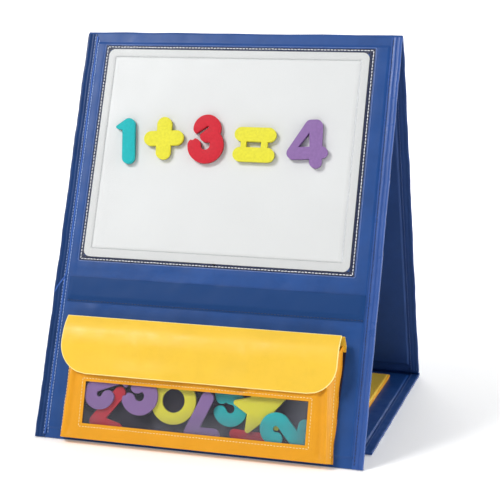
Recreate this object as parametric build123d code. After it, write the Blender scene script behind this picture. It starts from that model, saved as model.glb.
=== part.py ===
from build123d import *
import os
from math import asin, atan, atan2, ceil, cos, degrees, hypot, radians, sin, tan

# Tabletop pocket chart: three stiff panels in sewn vinyl covers, folded into a standing triangle.
# X runs to the viewer's right, the front panel faces -Y, and Z is up.
# The origin lies on the table, at the middle of the footprint.
# Each panel has its own frame: u across, v up the slope, n outward from the sewn edge's outer face.

# Overall sizes of the standing chart
chart_width = 325.3
stand_height = 384.4
stand_depth = 312.7

# Panel make-up
skin = 0.8
board_thickness = 2.4
hem = 10.0
binding_thickness = 0.5
seam_gap = 0.2
corner_radius = 4.0

# Folding
fold_gap = 1.6
running_gap = 0.35
hinge_roll_radius = 2.0
base_swing_gap = 0.4
back_foot_rise = 8.0
parallel_allowance = 0.3

# Magnetic writing board on the front, measured in the front panel's frame
writing_left = -136.0
writing_right = 133.0
writing_bottom = 181.0
writing_top = 395.5
writing_sheet = 0.5
writing_raise = 0.4
writing_rim = 11.0
steel_thickness = 0.4
steel_inset = 12.0
overlay_margin = 5.0
overlay_thickness = 0.3

# Clear card strip under the writing board
strip_left_margin = 15.15
strip_right_margin = 11.15
strip_bottom = 135.0
strip_height = 25.0
strip_sheet = 0.4
strip_depth = 0.7
strip_seam = 3.0

# Storage pocket on the front
pocket_bottom = 3.0
pocket_height = 96.0
pocket_depth_bottom = 12.0
pocket_depth_top = 19.0
pocket_half_bottom = 131.5
pocket_half_top = 125.5
pocket_root_bottom = 133.5
pocket_root_top = 137.5
pocket_sheet = 0.8
backing_top = 110.0
window_width = 220.0
window_bottom = 14.5
window_height = 40.0
window_corner = 1.0
window_overlap = 4.0
window_sheet = 0.4

# Pocket flap with its press-on patches
flap_half = 137.5
flap_root = 112.0
flap_crest_v = 119.5
flap_crest_n = 14.0
flap_drop = 35.5
flap_corner = 27.0
flap_sheet = 0.9
flap_seam = 6.0
flap_angle = 165.0
tape_thickness = 0.9
touch_gap = 0.2
patch_width = 26.0
patch_height = 18.0
patch_centre_v = 82.0
patch_centres = (-64.0, 52.0)

# Foam numerals, and the row they stand in on the writing board
figure_height = 47.0
foam_thickness = 4.0
magnet_thickness = 0.6
numeral_pull = 40.0
row_left_margin = 34.5
row_right_margin = 51.5
row_middle_v = 301.5
loose_thickness = 2.8
layer_gap = 0.3

# Base panel, its pocket and its closure strip
base_board_front = 115.0
base_pocket_half = 133.5
base_pocket_rear = 123.0
base_pocket_length = 120.0
base_pocket_height = 5.2
closure_bend = 6.0
closure_overlap = 9.0
closure_clear = 0.4
closure_tape_low = 13.0
closure_tape_height = 18.0

# Clear card pockets on the back
card_pocket_count = 4
card_pocket_height = 70.0
card_pocket_pitch = 88.0
card_pocket_first = 38.0
card_pocket_margin = 12.0

# The figures' strokes are drawn for this height
drawn_height = 47.0

# Worked-out sizes
flange_thickness = 2 * skin
board_step = board_thickness / 2
face_n = board_step
lining_n = -flange_thickness - board_step
panel_half = chart_width / 2 - binding_thickness
board_half = panel_half - hem - skin
binding_edge = board_half + skin + seam_gap
pocket_stack = strip_depth + strip_sheet
strip_left = strip_left_margin - panel_half
strip_right = panel_half - strip_right_margin
row_left = writing_left + row_left_margin
row_width = writing_right - row_right_margin - row_left
figure_scale = figure_height / drawn_height
spine_radius = fold_gap / 2 + board_step + flange_thickness

# Top hinge axis, and the front panel's lean from the vertical
top_axis_z = stand_height - spine_radius
front_reach = hypot(stand_depth / 2, top_axis_z)
front_lean = atan2(stand_depth / 2, top_axis_z) - asin(spine_radius / front_reach)
front_length = (front_reach**2 - spine_radius**2) ** 0.5
front_foot = (flange_thickness + binding_thickness) * tan(front_lean)

# Rear hinge axis, and the back panel's lean from the vertical
rear_axis_y = stand_depth / 2 - hinge_roll_radius
rear_axis_z = hinge_roll_radius
rear_offset = hinge_roll_radius + pocket_stack + base_swing_gap + board_step
rear_reach = hypot(rear_axis_y, top_axis_z - rear_axis_z)
back_lean = atan2(rear_axis_y, top_axis_z - rear_axis_z) - asin((spine_radius + rear_offset) / rear_reach)
back_length = (rear_reach**2 - (spine_radius + rear_offset) ** 2) ** 0.5

# Fold angles in degrees
top_fold_angle = degrees(front_lean + back_lean) - parallel_allowance
base_fold_angle = 270 + degrees(back_lean) - parallel_allowance

# Panel frames
front_normal = Vector(0, -cos(front_lean), sin(front_lean))
back_normal = Vector(0, cos(back_lean), sin(back_lean))
front_plane = Plane(origin=(0, -stand_depth / 2, 0), x_dir=(1, 0, 0), z_dir=front_normal)
back_origin = Vector(0, rear_axis_y, rear_axis_z) - back_normal * rear_offset
back_plane = Plane(origin=back_origin, x_dir=(-1, 0, 0), z_dir=back_normal)
base_plane = Plane(origin=(0, 0, flange_thickness + board_step), x_dir=(1, 0, 0), z_dir=(0, 0, 1))


def block(u0, u1, v0, v1, n0, n1):
    """Box between two corners of a panel's frame."""
    return Pos((u0 + u1) / 2, (v0 + v1) / 2, (n0 + n1) / 2) * Box(u1 - u0, v1 - v0, n1 - n0)


def sheet(u0, u1, v0, v1, n0, n1, radius):
    """Flat sheet with rounded corners."""
    outline = Pos((u0 + u1) / 2, (v0 + v1) / 2, n0) * RectangleRounded(u1 - u0, v1 - v0, radius)
    return extrude(outline, n1 - n0)


def across(points, half):
    """Prism along u of an outline given as (v, n) points."""
    outline = make_face(Polyline(*[(0, v, n) for v, n in points], close=True))
    return extrude(outline, half, dir=(1, 0, 0), both=True)


def save(name, plane, *solids):
    """Place solids of one node by their panel's frame and write them."""
    placed = [plane.location * solid for solid in solids]
    shape = placed[0] if len(placed) == 1 else Compound(children=placed)
    shape.label = name
    export_step(shape, "parts/" + name + ".step")


# Panels


def skin_half(v0, v1, side):
    """Half of a panel's cover: a flange with a raised field that holds one face of the board."""
    mid = -skin
    crown = mid + side * (board_step + skin)
    field = (-board_half - skin, board_half + skin, v0 + hem, v1 - hem)
    cavity = (-board_half, board_half, v0 + hem + skin, v1 - hem - skin)
    flange = block(-panel_half, panel_half, v0, v1, min(mid, mid + side * skin), max(mid, mid + side * skin))
    raised = block(*field, min(mid, crown), max(mid, crown))
    pocket = block(*cavity, min(mid, mid + side * board_step), max(mid, mid + side * board_step))
    return flange + raised - pocket


def stiff_board(v0, v1):
    """Board that fills the cavity between the two cover halves."""
    return block(
        -board_half, board_half, v0 + hem + skin, v1 - hem - skin, -skin - board_step, -skin + board_step
    )


def bindings(v0, v1):
    """Folded edge bindings, left and right, each wrapped over the flange."""
    wrapped = block(binding_edge, chart_width / 2, v0, v1, -flange_thickness - binding_thickness, binding_thickness)
    flange = block(0, panel_half, v0, v1, -flange_thickness, 0)
    right = wrapped - flange
    return right, mirror(right, Plane.YZ)


def card_sheet(u0, u1, v0, height):
    """Clear card pocket: a sheet held off the cover by its sewn rim, open along the top."""
    n0 = face_n
    rim = n0 + strip_depth
    front = block(u0, u1, v0, v0 + height, rim, rim + strip_sheet)
    foot = block(u0, u1, v0, v0 + strip_seam, n0, rim)
    left = block(u0, u0 + strip_seam, v0, v0 + height, n0, rim)
    right = block(u1 - strip_seam, u1, v0, v0 + height, n0, rim)
    return front + foot + left + right


# Numeral outlines, each drawn about its own middle


def stroke(x0, y0, x1, y1, width):
    """Straight stroke with round ends."""
    length = hypot(x1 - x0, y1 - y0)
    turn = degrees(atan2(y1 - y0, x1 - x0))
    return Pos((x0 + x1) / 2, (y0 + y1) / 2) * Rot(0, 0, turn) * SlotCenterToCenter(length, width)


def ring_part(inner, outer, start, size):
    """Part of a flat ring about the origin, from one angle through another, in degrees."""
    steps = ceil(abs(size) / 60)
    turns = [radians(start + size * i / steps) for i in range(steps + 1)]
    fan = [(2 * outer * cos(a), 2 * outer * sin(a)) for a in turns]
    wedge = make_face(Polyline((0, 0), *fan, close=True))
    return (Circle(outer) - Circle(inner)) & wedge


def bow(x, y, radius, start, size, width):
    """Stroke along an arc, with round ends."""
    ends = [radians(start), radians(start + size)]
    discs = [Pos(radius * cos(a), radius * sin(a)) * Circle(width / 2) for a in ends]
    return Pos(x, y) * (ring_part(radius - width / 2, radius + width / 2, start, size) + discs)


def wrap(*discs):
    """Outline wrapped round discs given as (x, y, radius)."""
    edges = ShapeList()
    for x, y, radius in discs:
        edges.extend((Pos(x, y) * Circle(radius)).edges())
    return make_hull(edges)


def one_outline():
    return stroke(0, -16.9, 0, 16.8, 13) + wrap((-11.7, 15.2, 1.6), (0, 16.8, 6.5))


def plus_outline():
    return stroke(0, -14, 0, 14, 15) + stroke(-13, 0, 13, 0, 15)


def three_outline():
    upper = bow(0, 10.8, 7.6, -90, 272, 12.6)
    lower = bow(0, -6.0, 11.5, -178, 255, 13.3)
    slot = wrap((0.4, 12.0, 1.3), (-14.0, 0.6, 2.2))
    return upper + lower - slot


def equals_outline():
    bars = stroke(-13.7, 10, 13.7, 10, 14.2) + stroke(-13.7, -10, 13.7, -10, 14.2)
    webs = Pos(-11, 0) * Rectangle(5.2, 12) + Pos(10, 0) * Rectangle(6.2, 12)
    return bars + webs


def four_outline():
    body = wrap((3.0, 18.0, 6.0), (8.3, 18.0, 6.0), (-13.7, -8.4, 6.3), (8.3, -8.4, 6.0))
    arm = stroke(8.0, -8.4, 14.4, -8.4, 11.2)
    leg = stroke(8.4, -8.0, 8.4, -17.8, 11.8)
    hole = make_face(Polyline((1.8, 11.6), (2.3, -2.6), (-9.2, -2.8), close=True))
    return body + arm + leg - hole


def two_outline():
    bowl = bow(0, 9.4, 9.0, 195, -220, 12.4)
    diagonal = stroke(8.2, 5.6, -8.6, -16.0, 12.4)
    foot = stroke(-8.6, -16.4, 9.8, -16.4, 12.0)
    return bowl + diagonal + foot


def seven_outline():
    return stroke(-12.0, 16.6, 10.6, 16.6, 12.0) + stroke(10.2, 15.6, -3.6, -16.8, 12.0)


def five_outline():
    bowl = bow(-0.6, -7.2, 10.4, -170, 250, 12.6)
    back = stroke(-8.2, 14.6, -7.4, 4.2, 11.6)
    top = stroke(-8.2, 16.2, 9.4, 16.2, 11.6)
    return bowl + back + top


def zero_outline():
    return Circle(22.4) - Circle(11.3)


def star_outline():
    """Five-pointed star with rounded points."""
    tips = [(23.5 * sin(radians(72 * i)), 23.5 * cos(radians(72 * i))) for i in range(5)]
    arms = [wrap((x, y, 2.6), (0.42 * -y, 0.42 * x, 2.6), (0.42 * y, 0.42 * -x, 2.6)) for x, y in tips]
    star = arms[0]
    for arm in arms[1:]:
        star += arm
    return star


def numeral(name, outline, share, rise, turn):
    """Magnetic figure at a share of the row's width: foam, and a magnet sheet behind it."""
    outline = scale(outline, by=figure_scale)
    u = row_left + share * row_width
    v = row_middle_v + rise * figure_scale
    seat = face_n + writing_sheet + writing_raise + overlay_thickness + touch_gap
    magnet = extrude(outline, magnet_thickness)
    place = Pos(u, v, seat) * Rot(0, 0, turn)
    save(name + "_foam", front_plane, place * Pos(0, 0, magnet_thickness) * extrude(outline, foam_thickness))
    save(name + "_magnet", front_plane, place * magnet)


os.makedirs("parts", exist_ok=True)

# Front panel
front_cover = skin_half(front_foot, front_length, 1)
steel_field = (writing_left + steel_inset, writing_right - steel_inset)
steel_rise = (writing_bottom + steel_inset, writing_top - steel_inset)
steel_top = -skin + board_step
steel = block(*steel_field, *steel_rise, steel_top - steel_thickness, steel_top)
save("front_cover", front_plane, front_cover)
save("front_board", front_plane, stiff_board(front_foot, front_length) - steel)
save("front_lining", front_plane, skin_half(front_foot, front_length, -1))
save("front_bindings", front_plane, *bindings(front_foot, front_length))
save("steel_sheet", front_plane, steel)

# Writing board: a white sheet whose middle stands a little proud, under a clear overlay
white_top = face_n + writing_sheet
raised_top = white_top + writing_raise
white_sheet = sheet(writing_left, writing_right, writing_bottom, writing_top, face_n, white_top, corner_radius)
raised_field = (
    writing_left + writing_rim,
    writing_right - writing_rim,
    writing_bottom + writing_rim,
    writing_top - writing_rim,
)
raised = sheet(*raised_field, white_top, raised_top, corner_radius)
overlay_field = (
    writing_left - overlay_margin,
    writing_right + overlay_margin,
    writing_bottom - overlay_margin,
    writing_top + overlay_margin,
)
overlay = (
    sheet(*overlay_field, face_n, white_top + overlay_thickness, corner_radius)
    + sheet(*raised_field, white_top, raised_top + overlay_thickness, corner_radius)
    - white_sheet
    - raised
)
save("white_board_sheet", front_plane, white_sheet + raised)
save("clear_overlay", front_plane, overlay)

# Card strip and the loop tape that the closure strip sticks to
save("card_strip", front_plane, card_sheet(strip_left, strip_right, strip_bottom, strip_height))
loop_n = lining_n - tape_thickness
loop_top = closure_tape_low + closure_tape_height
save("closure_loop_tape", front_plane, block(-board_half, board_half, closure_tape_low, loop_top, loop_n, lining_n))

# Storage pocket: the face leans out from the panel on V-shaped side gussets
pocket_lean = atan((pocket_depth_top - pocket_depth_bottom) / pocket_height)
pocket_top = pocket_bottom + pocket_height
backing_n = face_n + pocket_sheet
pocket_wall = hypot(pocket_height, pocket_depth_top - pocket_depth_bottom)
wall_frame = Pos(0, pocket_bottom, pocket_depth_bottom) * Rot(degrees(pocket_lean), 0, 0)


def wall_n(v):
    """Height of the pocket face's outer side over the panel at v."""
    return pocket_depth_bottom + (v - pocket_bottom) * tan(pocket_lean)


face_outline = make_face(
    Polyline(
        (-pocket_half_bottom, 0),
        (pocket_half_bottom, 0),
        (pocket_half_top, pocket_wall),
        (-pocket_half_top, pocket_wall),
        close=True,
    )
)
window_middle = window_bottom + window_height / 2
window_hole = Pos(0, window_middle) * RectangleRounded(window_width, window_height, window_corner)
pane = Pos(0, window_middle) * Rectangle(window_width + 2 * window_overlap, window_height + 2 * window_overlap)
save("pocket_face", front_plane, wall_frame * extrude(face_outline - window_hole, -pocket_sheet))
save("pocket_window", front_plane, wall_frame * Pos(0, 0, -pocket_sheet) * extrude(pane, -window_sheet))
backing = make_face(
    Polyline(
        (-pocket_root_bottom, pocket_bottom),
        (pocket_root_bottom, pocket_bottom),
        (pocket_root_top, backing_top),
        (-pocket_root_top, backing_top),
        close=True,
    )
)
save("pocket_backing", front_plane, Pos(0, 0, face_n) * extrude(backing, pocket_sheet))
floor_reach = pocket_depth_bottom - 2 * pocket_sheet
save(
    "pocket_floor",
    front_plane,
    block(
        -pocket_half_bottom + pocket_sheet,
        pocket_half_bottom - pocket_sheet,
        pocket_bottom,
        pocket_bottom + pocket_sheet,
        backing_n,
        floor_reach,
    ),
)


def gusset_section(v, root, edge):
    """Slice of the right gusset across the panel, from the backing to the pocket face."""
    near = wall_n(v) - pocket_sheet / cos(pocket_lean) - seam_gap / 2
    corners = [
        (root - pocket_sheet, v, backing_n),
        (root, v, backing_n),
        (edge, v, near),
        (edge - pocket_sheet, v, near),
    ]
    return make_face(Polyline(*corners, close=True))


gusset_top = pocket_top - pocket_sheet
right_gusset = loft(
    [
        gusset_section(pocket_bottom, pocket_root_bottom, pocket_half_bottom),
        gusset_section(gusset_top, pocket_root_top, pocket_half_top),
    ],
    ruled=True,
)
save("pocket_gussets", front_plane, right_gusset, mirror(right_gusset, Plane.YZ))

# Flap: a sewn root leaves the panel and rises to the crease, where the flap turns down over the pocket
root_start = (flap_root, backing_n)
root_run = hypot(flap_crest_v - flap_root, flap_crest_n - backing_n)
root_way = ((flap_crest_v - flap_root) / root_run, (flap_crest_n - backing_n) / root_run)
crease_stop = flap_sheet / 2 + running_gap
half_sheet = flap_sheet / 2
root_end = (flap_crest_v - root_way[0] * crease_stop, flap_crest_n - root_way[1] * crease_stop)
root_side = (-root_way[1] * half_sheet, root_way[0] * half_sheet)
root_low = (flap_root, backing_n + flap_sheet)
flap_root_strip = across(
    [
        (root_low[0] + root_side[0], root_low[1] + root_side[1]),
        (root_low[0] - root_side[0], root_low[1] - root_side[1]),
        (root_end[0] - root_side[0], root_end[1] - root_side[1]),
        (root_end[0] + root_side[0], root_end[1] + root_side[1]),
    ],
    flap_half,
)
flap_root_seam = block(
    -flap_half, flap_half, flap_root - flap_seam, flap_root + half_sheet, face_n, backing_n + flap_sheet
)
seam_room = block(-flap_half, flap_half, pocket_bottom, backing_top, face_n, backing_n)
save("pocket_flap_root", front_plane, flap_root_seam + flap_root_strip - seam_room)

stand_off = 2 * tape_thickness + touch_gap
knee_v = pocket_top + flap_sheet
hem_v = knee_v - flap_drop
knee = (knee_v, wall_n(knee_v) + stand_off / cos(pocket_lean))
flap_hem = (hem_v, wall_n(hem_v) + stand_off / cos(pocket_lean))
fall = hypot(flap_crest_v - knee[0], knee[1] - flap_crest_n)
fall_side = ((knee[1] - flap_crest_n) / fall * half_sheet, (flap_crest_v - knee[0]) / fall * half_sheet)
flap_profile = across(
    [
        (flap_crest_v - fall_side[0], flap_crest_n - fall_side[1]),
        knee,
        flap_hem,
        (flap_hem[0], flap_hem[1] + flap_sheet),
        (knee[0] + half_sheet * tan(pocket_lean), knee[1] + flap_sheet),
        (flap_crest_v + fall_side[0], flap_crest_n + fall_side[1]),
    ],
    flap_half,
)
crease_bead = Pos(0, flap_crest_v, flap_crest_n) * Rot(0, 90, 0) * Cylinder(half_sheet, 2 * flap_half)
flap_blank = extrude(
    make_face(
        Polyline(
            (-flap_half, flap_crest_v + 1),
            (-flap_half, hem_v + flap_corner),
            (-flap_half + flap_corner, hem_v),
            (flap_half - flap_corner, hem_v),
            (flap_half, hem_v + flap_corner),
            (flap_half, flap_crest_v + 1),
            close=True,
        )
    ),
    2 * pocket_depth_top,
)
lower_left = Pos(-flap_half + flap_corner, hem_v + flap_corner) * Circle(flap_corner)
lower_right = Pos(flap_half - flap_corner, hem_v + flap_corner) * Circle(flap_corner)
flap_blank += extrude(lower_left + lower_right, 2 * pocket_depth_top)
save("pocket_flap", front_plane, (flap_profile + crease_bead) & flap_blank)


def patch(centre, n0, n1):
    """Press-on patch lying parallel to the pocket face, between two heights over it."""
    mid_v = (patch_centre_v - pocket_bottom) / cos(pocket_lean)
    return wall_frame * block(
        centre - patch_width / 2,
        centre + patch_width / 2,
        mid_v - patch_height / 2,
        mid_v + patch_height / 2,
        n0,
        n1,
    )


hook_low = tape_thickness + touch_gap
save("pocket_loop_patches", front_plane, *[patch(u, 0, tape_thickness) for u in patch_centres])
save("flap_hook_patches", front_plane, *[patch(u, hook_low, stand_off) for u in patch_centres])

# Loose foam figures lying in the storage pocket, in three layers behind the window
near_layer = -pocket_sheet - window_sheet - layer_gap - loose_thickness
middle_layer = near_layer - layer_gap - loose_thickness
far_layer = middle_layer - layer_gap - loose_thickness


def loose(outline, u, v, turn, layer):
    """Foam figure lying in the pocket, parallel to its face."""
    outline = Rot(0, 0, turn) * scale(outline, by=figure_scale)
    return wall_frame * Pos(u, v - pocket_bottom, layer) * extrude(outline, loose_thickness)


save(
    "loose_purple_figures",
    front_plane,
    loose(two_outline(), -91.0, 55.0, 150, near_layer),
    loose(three_outline(), -57.0, 53.5, 20, near_layer),
    loose(seven_outline(), 9.0, 35.0, 180, near_layer),
)
save(
    "loose_red_figures",
    front_plane,
    loose(seven_outline(), -84.0, 34.0, 165, middle_layer),
    loose(stroke(-13.5, 0, 13.5, 0, 9.0), 53.0, 20.6, -3, far_layer),
)
save(
    "loose_yellow_figures",
    front_plane,
    loose(zero_outline(), -21.6, 46.5, 0, middle_layer),
    loose(star_outline(), 63.5, 47.0, 10, middle_layer),
)
save(
    "loose_teal_figures",
    front_plane,
    loose(five_outline(), 33.0, 51.0, 12, far_layer),
    loose(two_outline(), 90.0, 28.0, 80, near_layer),
)

# Magnetic figures on the writing board
numeral("one", one_outline(), 0, -2.7, 6.5)
numeral("plus", plus_outline(), 0.201, 1.3, 3.5)
numeral("three", three_outline(), 0.441, 1.7, 0)
numeral("equals", equals_outline(), 0.7125, -2.1, 0)
numeral("four", four_outline(), 1, 0.2, 3.5)

# Spine: the front cover's vinyl wraps over the top hinge axis, and the back's lining turns inside it


def spine_sector(inner, outer, start, end):
    """Part of a tube round the top hinge axis, between two angles from +Y."""
    at_top = Plane(origin=(0, 0, top_axis_z), x_dir=(0, 1, 0), z_dir=(1, 0, 0))
    return extrude(at_top * ring_part(inner, outer, start, end - start), panel_half, both=True)


world = Plane.XY
back_angle = degrees(back_lean)
front_angle = 180 - degrees(front_lean)
save("top_spine", world, spine_sector(spine_radius - skin, spine_radius, back_angle, front_angle))
lining_outer = spine_radius - skin - running_gap
lining_inner = spine_radius - flange_thickness
save("spine_lining", world, spine_sector(lining_inner, lining_outer, back_angle, back_angle + top_fold_angle + 15))

# Back panel
save("back_cover", back_plane, skin_half(back_foot_rise, back_length, 1))
save("back_board", back_plane, stiff_board(back_foot_rise, back_length))
save("back_lining", back_plane, skin_half(back_foot_rise, back_length, -1))
save("back_bindings", back_plane, *bindings(back_foot_rise, back_length))
for number in range(card_pocket_count):
    pocket_half = board_half - card_pocket_margin
    low = card_pocket_first + number * card_pocket_pitch
    card_pocket = card_sheet(-pocket_half, pocket_half, low, card_pocket_height)
    save("back_card_pocket_" + str(number + 1), back_plane, card_pocket)

# Rear hinge: a rolled vinyl seam on the floor, and the web that joins it to the back panel's foot
web_foot = (back_foot_rise, -skin)
web_axis = (0, rear_offset)
web_run = hypot(web_foot[0] - web_axis[0], web_foot[1] - web_axis[1])
web_side = (-(web_foot[1] - web_axis[1]) / web_run * skin / 2, (web_foot[0] - web_axis[0]) / web_run * skin / 2)
web = across(
    [
        (web_axis[0] + web_side[0], web_axis[1] + web_side[1]),
        (web_axis[0] - web_side[0], web_axis[1] - web_side[1]),
        (web_foot[0] - web_side[0], web_foot[1] - web_side[1]),
        (web_foot[0] + web_side[0], web_foot[1] + web_side[1]),
    ],
    panel_half,
)
roll = Pos(0, 0, rear_offset) * Rot(0, 90, 0) * Cylinder(hinge_roll_radius, 2 * panel_half)
flange_room = block(-panel_half, panel_half, back_foot_rise, 2 * back_foot_rise, -flange_thickness, 0)
save("rear_hinge", back_plane, web + roll - flange_room)

# Base panel: its v runs rearward from the chart's middle
base_rear = rear_axis_y - hinge_roll_radius - base_swing_gap
save("base_cover", base_plane, skin_half(-base_board_front, base_rear, 1))
save("base_board", base_plane, stiff_board(-base_board_front, base_rear))
save("base_underside", base_plane, skin_half(-base_board_front, base_rear, -1))
save("base_bindings", base_plane, *bindings(-base_board_front, base_rear - base_swing_gap))

# Flat storage pocket on the base, its mouth towards the front
base_pocket_front = base_pocket_rear - base_pocket_length
pocket_back_n = face_n + pocket_sheet
pocket_face_n = face_n + base_pocket_height
save(
    "base_pocket_backing",
    base_plane,
    block(-base_pocket_half, base_pocket_half, base_pocket_front, base_pocket_rear, face_n, pocket_back_n),
)
save(
    "base_pocket_face",
    base_plane,
    block(
        -base_pocket_half,
        base_pocket_half,
        base_pocket_front,
        base_pocket_rear,
        pocket_face_n - pocket_sheet,
        pocket_face_n,
    ),
)
side_u = base_pocket_half - pocket_sheet
rise = (pocket_back_n, pocket_face_n - pocket_sheet)
right_side = block(side_u, base_pocket_half, base_pocket_front, base_pocket_rear, *rise)
rear_side = block(-side_u, side_u, base_pocket_rear - pocket_sheet, base_pocket_rear, *rise)
save("base_pocket_gussets", base_plane, right_side, mirror(right_side, Plane.YZ), rear_side)

# Closure strip: leaves the base's front hem along the floor and turns up the front panel's inner face
strip_n = loop_n - touch_gap - tape_thickness - skin / 2
strip_z = closure_clear + skin / 2
meet_v = (strip_z - strip_n * sin(front_lean)) / cos(front_lean)
meet = front_plane.from_local_coords(Vector(0, meet_v, strip_n))
upright = front_plane.from_local_coords(Vector(0, loop_top, strip_n))
path = FilletPolyline(
    (0, -base_board_front + closure_overlap, strip_z),
    (0, meet.Y, strip_z),
    (0, upright.Y, upright.Z),
    radius=closure_bend,
)
ribbon = Plane(origin=path @ 0, z_dir=path % 0, x_dir=(1, 0, 0)) * Rectangle(2 * board_half, skin)
save("closure_strip", world, sweep(ribbon, path))
hook_n = strip_n + skin / 2
hook_tape = block(-board_half, board_half, closure_tape_low, loop_top, hook_n, hook_n + tape_thickness)
save("closure_hook_tape", front_plane, hook_tape)

print("front lean", round(degrees(front_lean), 3), "back lean", round(degrees(back_lean), 3))
print("top axis", (0, 0, round(top_axis_z, 3)), "range", round(top_fold_angle, 3))
print("rear axis", (0, round(rear_axis_y, 3), round(rear_axis_z, 3)), "range", round(base_fold_angle, 3))
crease = front_plane.from_local_coords(Vector(0, flap_crest_v, flap_crest_n))
print("flap axis", round(crease.Y, 3), round(crease.Z, 3), "range", flap_angle)
print("pull", tuple(front_normal), numeral_pull)
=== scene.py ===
import math

import bmesh
import bpy
import numpy as np
from bpy.props import FloatProperty, FloatVectorProperty, PointerProperty
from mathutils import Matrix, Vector


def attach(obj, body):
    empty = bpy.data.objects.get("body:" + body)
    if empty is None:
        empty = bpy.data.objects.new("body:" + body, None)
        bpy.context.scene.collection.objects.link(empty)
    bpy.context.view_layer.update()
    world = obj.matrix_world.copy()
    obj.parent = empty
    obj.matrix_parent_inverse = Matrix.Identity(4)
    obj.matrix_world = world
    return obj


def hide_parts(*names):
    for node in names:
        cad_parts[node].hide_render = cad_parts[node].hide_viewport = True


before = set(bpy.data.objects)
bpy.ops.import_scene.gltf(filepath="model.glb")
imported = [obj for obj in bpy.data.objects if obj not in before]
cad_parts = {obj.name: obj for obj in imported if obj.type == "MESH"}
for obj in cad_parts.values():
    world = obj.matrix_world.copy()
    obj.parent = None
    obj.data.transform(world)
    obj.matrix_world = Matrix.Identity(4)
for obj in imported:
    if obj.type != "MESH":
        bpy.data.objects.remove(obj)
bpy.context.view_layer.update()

bl_info = {
    "name": "Tabletop Pocket Chart",
    "version": (1, 0, 0),
    "blender": (4, 5, 0),
    "location": "View3D > Sidebar > Pocket Chart",
    "description": "Dresses a folding tabletop pocket chart in sewn vinyl, clear film and foam figures",
    "category": "Add Mesh",
}

MM = 0.001
HALF_WIDTH = 162.65
FRONT_LEAN = math.radians(21.8212)
BACK_LEAN = math.radians(21.007)
FRONT_FOOT = 0.84
FRONT_LENGTH = 411.63
BACK_FOOT = 8.0
BACK_LENGTH = 408.7
FACE = 1.2
FLANGE = 1.6
SKIN = 0.8
BASE_FRONT = -115.0
BASE_REAR = 151.95
SPANS = {
    "front": (FRONT_FOOT, FRONT_LENGTH),
    "back": (BACK_FOOT, BACK_LENGTH),
    "base": (BASE_FRONT, BASE_REAR),
}
SIDES = (("left", -1), ("right", 1))


# Panel frames and mesh building


class Panel:
    """Frame of one panel in millimetres: u across, v up its slope, n out of its outer side."""

    def __init__(self, origin, across, normal):
        self.origin = np.array(origin, float)
        self.across = np.array(across, float)
        self.normal = np.array(normal, float)
        self.rise = np.cross(self.normal, self.across)

    def place(self, points):
        """Points of this panel in the row frame, in metres."""
        p = np.asarray(points, float)
        spread = p[..., :1] * self.across + p[..., 1:2] * self.rise + p[..., 2:] * self.normal
        placed = (self.origin + spread) * MM
        placed[..., 2] = np.maximum(placed[..., 2], 0)
        return placed

    def read(self, point):
        """The u and v of a point of the row frame, given in metres."""
        offset = np.array(point) / MM - self.origin
        return offset @ self.across, offset @ self.rise


FRONT = Panel((0, -156.35, 0), (1, 0, 0), (0, -math.cos(FRONT_LEAN), math.sin(FRONT_LEAN)))
BACK = Panel((0, 149.962, 0.315), (-1, 0, 0), (0, math.cos(BACK_LEAN), math.sin(BACK_LEAN)))
BASE = Panel((0, 0, 2.8), (1, 0, 0), (0, 0, 1))
WALL_LEAN = math.atan2(7.0, 96.0)
WALL_LENGTH = math.hypot(7.0, 96.0)
WALL = Panel(
    FRONT.place((0, 3.0, 12.0)) / MM,
    (1, 0, 0),
    math.cos(WALL_LEAN) * FRONT.normal - math.sin(WALL_LEAN) * FRONT.rise,
)


def rear_side(panel, depth=0.0):
    """Frame of a panel's inner side, that far behind its face."""
    return Panel(panel.origin - depth * panel.normal, -panel.across, -panel.normal)


def ramp(x, low, high):
    """Smooth step from 0 at low to 1 at high."""
    t = np.clip((x - low) / (high - low), 0, 1)
    return t * t * (3 - 2 * t)


def ridge(x, middle, width):
    """Smooth hump of height 1."""
    return np.exp(-(((x - middle) / width) ** 2))


def ripple(u, v, length, seed):
    """Uneven waves of about the given length, between -1 and 1."""
    draw = np.random.default_rng(seed)
    total = np.zeros(np.broadcast(u, v).shape)
    for _ in range(7):
        turn, phase = draw.uniform(0, 2 * math.pi, 2)
        reach = length * draw.uniform(0.65, 1.5)
        total += np.sin((u * math.cos(turn) + v * math.sin(turn)) * 2 * math.pi / reach + phase)
    return np.clip(total / 3.4, -1, 1)


def lines(start, *runs):
    """Grid lines from start through runs of (end, step)."""
    out = [start]
    for end, step in runs:
        count = max(1, round(abs(end - out[-1]) / step))
        out.extend(np.linspace(out[-1], end, count + 1)[1:])
    return np.array(out)


def seam_lines(low, high, step, *marks):
    """Grid lines from low to high, closer together round each mark."""
    near = [m + d for m in marks for d in (-2.4, -1.6, -0.9, -0.4, 0.0, 0.4, 0.9, 1.6, 2.4)]
    even = [x for x in lines(low, (high, step)) if min(abs(x - m) for m in marks) > 2.4 + step / 3]
    out = [low]
    for x in sorted(even + near):
        if out[-1] + 0.28 < x < high - 0.28:
            out.append(x)
    return np.array([*out, high])


def box_distance(u, v, box):
    """Distance outside a (u0, u1, v0, v1) rectangle, negative inside."""
    across = np.abs(u - (box[0] + box[1]) / 2) - (box[1] - box[0]) / 2
    along = np.abs(v - (box[2] + box[3]) / 2) - (box[3] - box[2]) / 2
    return np.maximum(across, along)


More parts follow.
